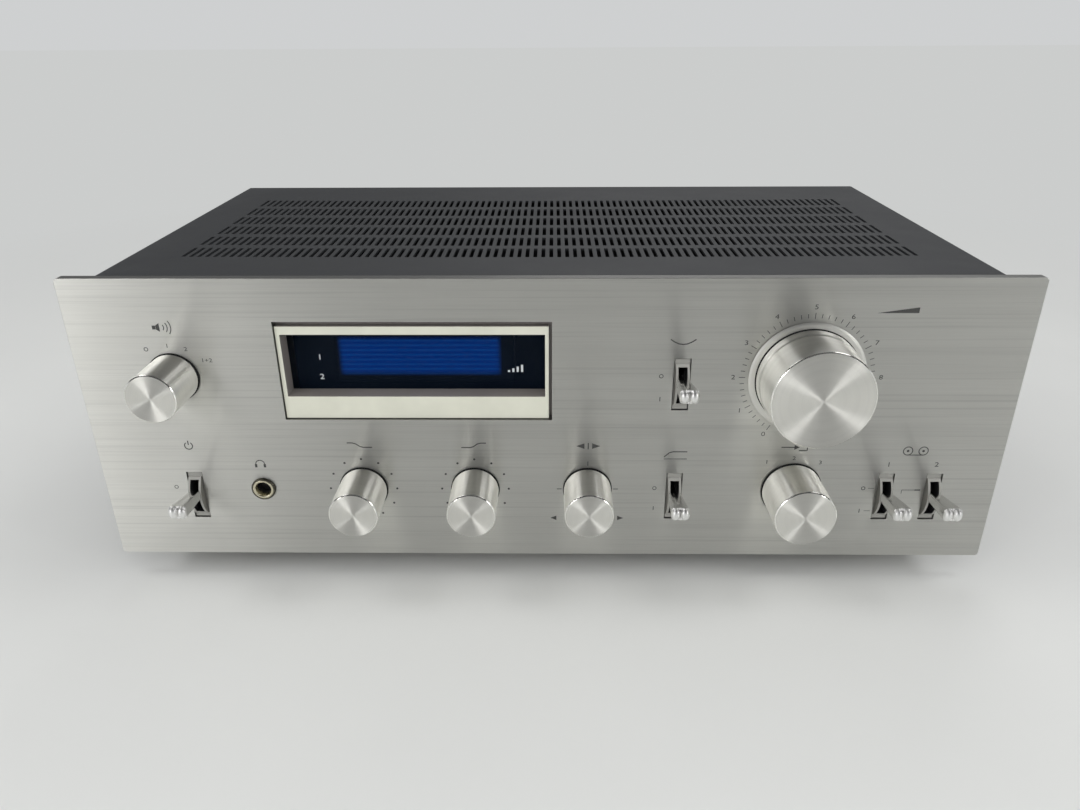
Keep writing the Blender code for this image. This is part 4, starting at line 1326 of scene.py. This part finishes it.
# Screws: a low domed head with a cross cut in it
def crossScrew(radius, height):
    head = spun(
        (
            (0, 0), (radius, 0), (radius, -height * 0.35), (radius * 0.93, -height * 0.68),
            (radius * 0.72, -height * 0.92), (radius * 0.45, -height), (0, -height),
        ), 28,
    )
    cutter = bmesh.new()
    arm, half = radius * 0.58, radius * 0.11
    corners = []
    for quarter in range(4):
        turn = Matrix.Rotation(-quarter * math.pi / 2, 2)
        corners += [turn @ Vector(point) for point in ((half, half), (arm, half), (arm, -half))]
    face = cutter.faces.new([cutter.verts.new((x, -height * 1.4, z)) for x, z in corners])
    grown = bmesh.ops.extrude_face_region(cutter, geom=[face])
    bmesh.ops.translate(cutter, vec=(0, height * 1.1, 0), verts=vertsOf(grown))
    bmesh.ops.recalc_face_normals(cutter, faces=cutter.faces)
    item, cross = addItem("head", meshOf(head, "head")), addItem("cross", meshOf(cutter, "cross"))
    cut = item.modifiers.new("cut", "BOOLEAN")
    cut.operation = "DIFFERENCE"
    cut.object = cross
    mesh = meshFrom(item)
    bpy.data.objects.remove(cross)
    return mesh


screwLook = {
    "size": (3.0 * mm, 1.7 * mm),
    "gap": 0.02 * mm,
    "coverDepths": (26 * mm, 158 * mm),
    "coverHeight": 18 * mm,
    "rearInset": 6 * mm,
    "rearLower": (-166 * mm, -12 * mm, 4 * mm, 145 * mm, 166 * mm),
    "rearUpper": (-166 * mm, 0, 166 * mm),
    "pan": (-161 * mm, 161 * mm, -60 * mm, 60 * mm),
    "panInsets": (10 * mm, 9 * mm),
}


def makeScrews():
    look = screwLook
    gap = look["gap"]
    mesh = crossScrew(*look["size"])
    rearLow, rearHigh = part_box("rear_panel")
    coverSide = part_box("top_cover")[1].x + gap
    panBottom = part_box("chassis_pan")[0].z - gap
    cover, rear, pan = [], [], []
    for side in (-1, 1):
        for depth in look["coverDepths"]:
            place = (side * coverSide, faceY + depth, baseZ + look["coverHeight"])
            cover.append((place, Matrix.Rotation(side * math.pi / 2, 4, "Z")))
    for places, z in (
        (look["rearLower"], rearLow.z + look["rearInset"]),
        (look["rearUpper"], rearHigh.z - look["rearInset"]),
    ):
        rear += [((x, rearHigh.y + gap, z), Matrix.Rotation(math.pi, 4, "Z")) for x in places]
    for x in look["pan"]:
        for y in (faceY + look["panInsets"][0], rearLow.y - look["panInsets"][1]):
            pan.append(((x, y, panBottom), Matrix.Rotation(math.pi / 2, 4, "X")))
    for name, places, finish, slotName in (
        ("coverScrews", cover, screwBlack, "dark_paint"), ("rearScrews", rear, screwBlack, "dark_paint"),
        ("panScrews", pan, nickel, "zinc_plate"),
    ):
        shapes = []
        for place, turn in places:
            screw = bmesh.new()
            screw.from_mesh(mesh)
            screw.transform(Matrix.Translation(place) @ turn)
            shapes.append(screw)
        makePiece(name, joined(shapes), [finish])
    bpy.data.meshes.remove(mesh)


makeScrews()
print("screws ready")


# Pan, rear panel and sub panel: folded sheet with eased edges
sheetEase = 0.12 * mm


def makeSheetParts():
    for node, name, finish, slotName in (
        ("chassis_pan", "chassisPan", zincPlate, "zinc_plate"),
        ("rear_panel", "rearPanel", rearPaint, "dark_paint"),
        ("sub_panel", "subPanel", zincPlate, "zinc_plate"),
    ):
        makePiece(name, soften(copyOf(node), sheetEase, 1, 60), [finish], node, 35, True)


makeSheetParts()
print("sheet parts ready")


# Feet: rubber with a moulded rim and a screw in the well, in millimetres from the floor
footLook = {"base": 16.5, "top": 14.5, "well": 6.0, "wellDepth": 8.0, "screw": (3.4, 1.8), "screwSeat": 7.95}


def footProfile(height):
    base, top, well, deep = (footLook[size] for size in ("base", "top", "well", "wellDepth"))
    return (
        (0, deep), (well - 0.5, deep), (well, deep - 0.5), (well, 0.6), (well + 0.5, 0.1), (well + 1.0, 0),
        (base - 5.5, 0), (base - 5.2, 0.3), (base - 4.6, 0.3), (base - 4.3, 0), (base - 1.5, 0),
        (base - 0.7, 0.25), (base - 0.2, 0.8), (base, 1.6), (base - 0.1, 2.6), (top + 0.35, height - 1.6),
        (top, height - 0.6), (top - 0.4, height - 0.1), (top - 0.8, height), (0, height),
    )


def makeFeet():
    mesh = crossScrew(*(size * mm for size in footLook["screw"]))
    for hand in ("front_left", "front_right", "rear_left", "rear_right"):
        low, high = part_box(f"foot_{hand}")
        centre = Vector(((low.x + high.x) / 2, (low.y + high.y) / 2, 0))
        bm = spun(inMm(footProfile(high.z / mm)), 72, centre, "Z")
        name = "foot" + "".join(part.capitalize() for part in hand.split("_"))
        makePiece(name, bm, [footRubber], f"foot_{hand}", 40)
        screw = bmesh.new()
        screw.from_mesh(mesh)
        seat = centre + Vector((0, 0, footLook["screwSeat"] * mm))
        screw.transform(Matrix.Translation(seat) @ Matrix.Rotation(math.pi / 2, 4, "X"))
        makePiece(f"{name}Screw", screw, [nickel])
    bpy.data.meshes.remove(mesh)


makeFeet()
print("feet ready")


# Rear sockets and terminals
phonoLook = {
    "columns": 7,
    "pitch": 15.5 * mm,
    "rowPitch": 18 * mm,
    "centre": (84 * mm, 56 * mm),
    "board": 2 * mm,
    "boardEase": 0.2 * mm,
}
terminalLook = {
    "columns": 4,
    "pitch": 22 * mm,
    "rowPitch": 20 * mm,
    "centre": (-60 * mm, 62 * mm),
    "floor": 5 * mm,
    "floorEase": 0.4 * mm,
    "rib": 1.6 * mm,
    "ribEase": 0.35 * mm,
    "sink": 0.2 * mm,
    "screw": (4 * mm, 2.6 * mm),
    "washer": 0.8 * mm,
}


def gridPlaces(look):
    # Row, column and centre of each socket or terminal, the lower row first
    for row in range(2):
        for column in range(look["columns"]):
            x = look["centre"][0] + (column - (look["columns"] - 1) / 2) * look["pitch"]
            z = baseZ + look["centre"][1] + (row - 0.5) * look["rowPitch"]
            yield row, column, Vector((x, 0, z))


def makeRearSockets():
    low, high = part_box("input_jack_block")
    boardBack = low.y + phonoLook["board"]
    board = block(low, (high.x, boardBack, high.z), phonoLook["boardEase"])
    makePiece("jackBoard", board, [phenolic], "input_jack_block", 50)
    root, end = (boardBack - rearFace) / mm, (high.y - rearFace) / mm
    shell = inMm((
        (3.2, root), (5.5, root), (5.5, 1.3), (5.2, 1.5), (4.15, 1.55), (4.1, 1.7), (4.1, end - 0.35),
        (3.85, end), (3.45, end), (3.2, end - 0.25), (3.2, root),
    ), rearFace)
    insert = inMm((
        (0, end - 6), (1.5, end - 6), (1.6, end - 1.0), (1.9, end - 0.7), (2.9, end - 0.7), (3.15, end - 0.9),
        (3.15, root), (0, root),
    ), rearFace)
    shells, inserts = [], ([], [])
    for row, _, centre in gridPlaces(phonoLook):
        shells.append(spun(shell, 36, centre))
        inserts[row].append(spun(insert, 32, centre))
    makePiece("jackShells", joined(shells), [nickel])
    makePiece("jackInsertsRight", joined(inserts[0]), [redPlastic])
    makePiece("jackInsertsLeft", joined(inserts[1]), [whitePlastic])


def slottedScrew(radius, height):
    # A cheese head with a straight slot: a turned head split by two cuts
    head = spun(
        (
            (0, 0), (radius, 0), (radius, height * 0.8), (radius * 0.94, height * 0.94),
            (radius * 0.85, height), (0, height),
        ), 32,
    )
    slot = radius * 0.16
    for place in (-slot, slot):
        geometry = head.verts[:] + head.edges[:] + head.faces[:]
        bmesh.ops.bisect_plane(head, geom=geometry, plane_co=(place, 0, 0), plane_no=(1, 0, 0), dist=1e-7)
    middle = [
        face for face in head.faces
        if face.normal.y > 0.9 and abs(face.calc_center_median().x) < slot * 0.9
    ]
    bottom = vertsOf(bmesh.ops.extrude_face_region(head, geom=middle))
    bmesh.ops.delete(head, geom=middle, context="FACES_ONLY")
    bmesh.ops.translate(head, vec=(0, -height * 0.45, 0), verts=bottom)
    bmesh.ops.recalc_face_normals(head, faces=head.faces)
    return head


def makeTerminals():
    look = terminalLook
    low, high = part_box("speaker_terminals")
    rib, ease, sink = look["rib"], look["ribEase"], look["sink"]
    floor = high.y - look["floor"]
    shapes = [block(low, (high.x, floor, high.z), look["floorEase"])]
    for column in range(look["columns"] + 1):
        x = look["centre"][0] + (column - look["columns"] / 2) * look["pitch"]
        left, right = max(x - rib, low.x), min(x + rib, high.x)
        shapes.append(block((left, floor - sink, low.z), (right, high.y, high.z), ease))
    for z in (low.z + rib, baseZ + look["centre"][1], high.z - rib):
        shapes.append(block((low.x, floor - sink, z - rib), (high.x, high.y - sink, z + rib), ease))
    makePiece("terminalBlock", joined(shapes), [blackPlastic], "speaker_terminals")
    washer = inMm(((0, 0), (5.2, 0), (5.2, 0.6), (4.9, 0.8), (0, 0.8)), floor)
    screws, washers = [], []
    for _, column, centre in gridPlaces(look):
        screw = slottedScrew(*look["screw"])
        seat = Vector((centre.x, floor + look["washer"], centre.z))
        screw.transform(Matrix.Translation(seat) @ Matrix.Rotation(0.4 + column, 4, "Y"))
        screws.append(screw)
        washers.append(spun(washer, 32, centre))
    makePiece("terminalScrews", joined(screws), [nickel])
    makePiece("terminalWashers", joined(washers), [nickel])


rearGap = 0.3 * mm  # between the rear panel and what is screwed to it
groundLook = {
    "nutTop": 5 * mm,
    "thumbRadius": 4.95 * mm,
    "teeth": 48,
    "toothDepth": 0.045,
    "capInset": 0.4 * mm,
}


def makeGround():
    look = groundLook
    low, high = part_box("ground_terminal")
    start = rearFace + rearGap
    nutEnd = start + look["nutTop"]
    root, nut = (low.y - start) / mm, look["nutTop"] / mm
    profile = (
        (0, root), (2.3, root), (2.5, root + 0.3), (2.5, 0), (5.0, 0), (5.0, nut / 2 - 0.2), (4.8, nut / 2),
        (2.5, nut / 2), (2.5, nut), (0, nut),
    )
    post = spun(inMm(profile, start), 48, middleOf("ground_terminal"))
    thumb = bmesh.new()
    corners, radius = 2 * look["teeth"], look["thumbRadius"]
    ring = bmesh.ops.create_circle(thumb, cap_ends=True, segments=corners, radius=radius)["verts"]
    for vert in ring[1::2]:
        vert.co *= 1 - look["toothDepth"]
    bmesh.ops.rotate(thumb, cent=(0, 0, 0), matrix=Matrix.Rotation(math.pi / 2, 3, "X"), verts=thumb.verts)
    grown = bmesh.ops.extrude_face_region(thumb, geom=thumb.faces[:], use_keep_orig=True)
    bmesh.ops.translate(thumb, vec=(0, high.y - nutEnd, 0), verts=vertsOf(grown))
    bmesh.ops.recalc_face_normals(thumb, faces=thumb.faces)
    caps = [face for face in thumb.faces if abs(face.normal.y) > 0.9]
    bmesh.ops.inset_region(thumb, faces=caps, thickness=look["capInset"], depth=0.0)
    thumb.transform(Matrix.Translation(middleOf("ground_terminal") + Vector((0, nutEnd, 0))))
    makePiece("groundTerminal", joined([post, thumb]), [nickel], "ground_terminal", 25)


def makeGland():
    low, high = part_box("cord_gland")
    outside = rearFace + rearGap
    root, end = (low.y - outside) / mm, (high.y - outside) / mm
    profile = [(3.5, root), (5.7, root), (6.0, root + 0.3), (6.0, 0), (8.1, 0), (8.5, 0.4)]
    for rib in range(3):
        at = 0.8 + 0.7 * rib
        profile += [(8.5, at), (8.2, at + 0.1), (8.2, at + 0.3), (8.5, at + 0.4)]
    profile += [(8.2, end - 0.1), (7.8, end), (4.2, end), (3.5, end - 0.8), (3.5, root)]
    bm = spun(inMm(profile, outside), 56, middleOf("cord_gland"))
    makePiece("cordGland", bm, [blackPlastic], "cord_gland")


makeRearSockets()
makeTerminals()
makeGround()
makeGland()
print("rear ready")


# Inside the cabinet
insideFinishes = (
    (corePaint, ("power_transformer",)),
    (blackAnodised, ("heat_sink",)),
    (blackPlastic, ("output_module_left", "output_module_right")),
    (boardLaminate, ("main_board", "tone_board")),
    (canSleeve, ("filter_capacitor_left", "filter_capacitor_right")),
    (controlZinc, ("bass_pot", "treble_pot", "balance_pot", "volume_pot")),
    (controlZinc, ("speaker_selector", "function_selector")),
)
for finish, nodes in insideFinishes:
    for node in nodes:
        dress(node, finish)
print("inside ready")
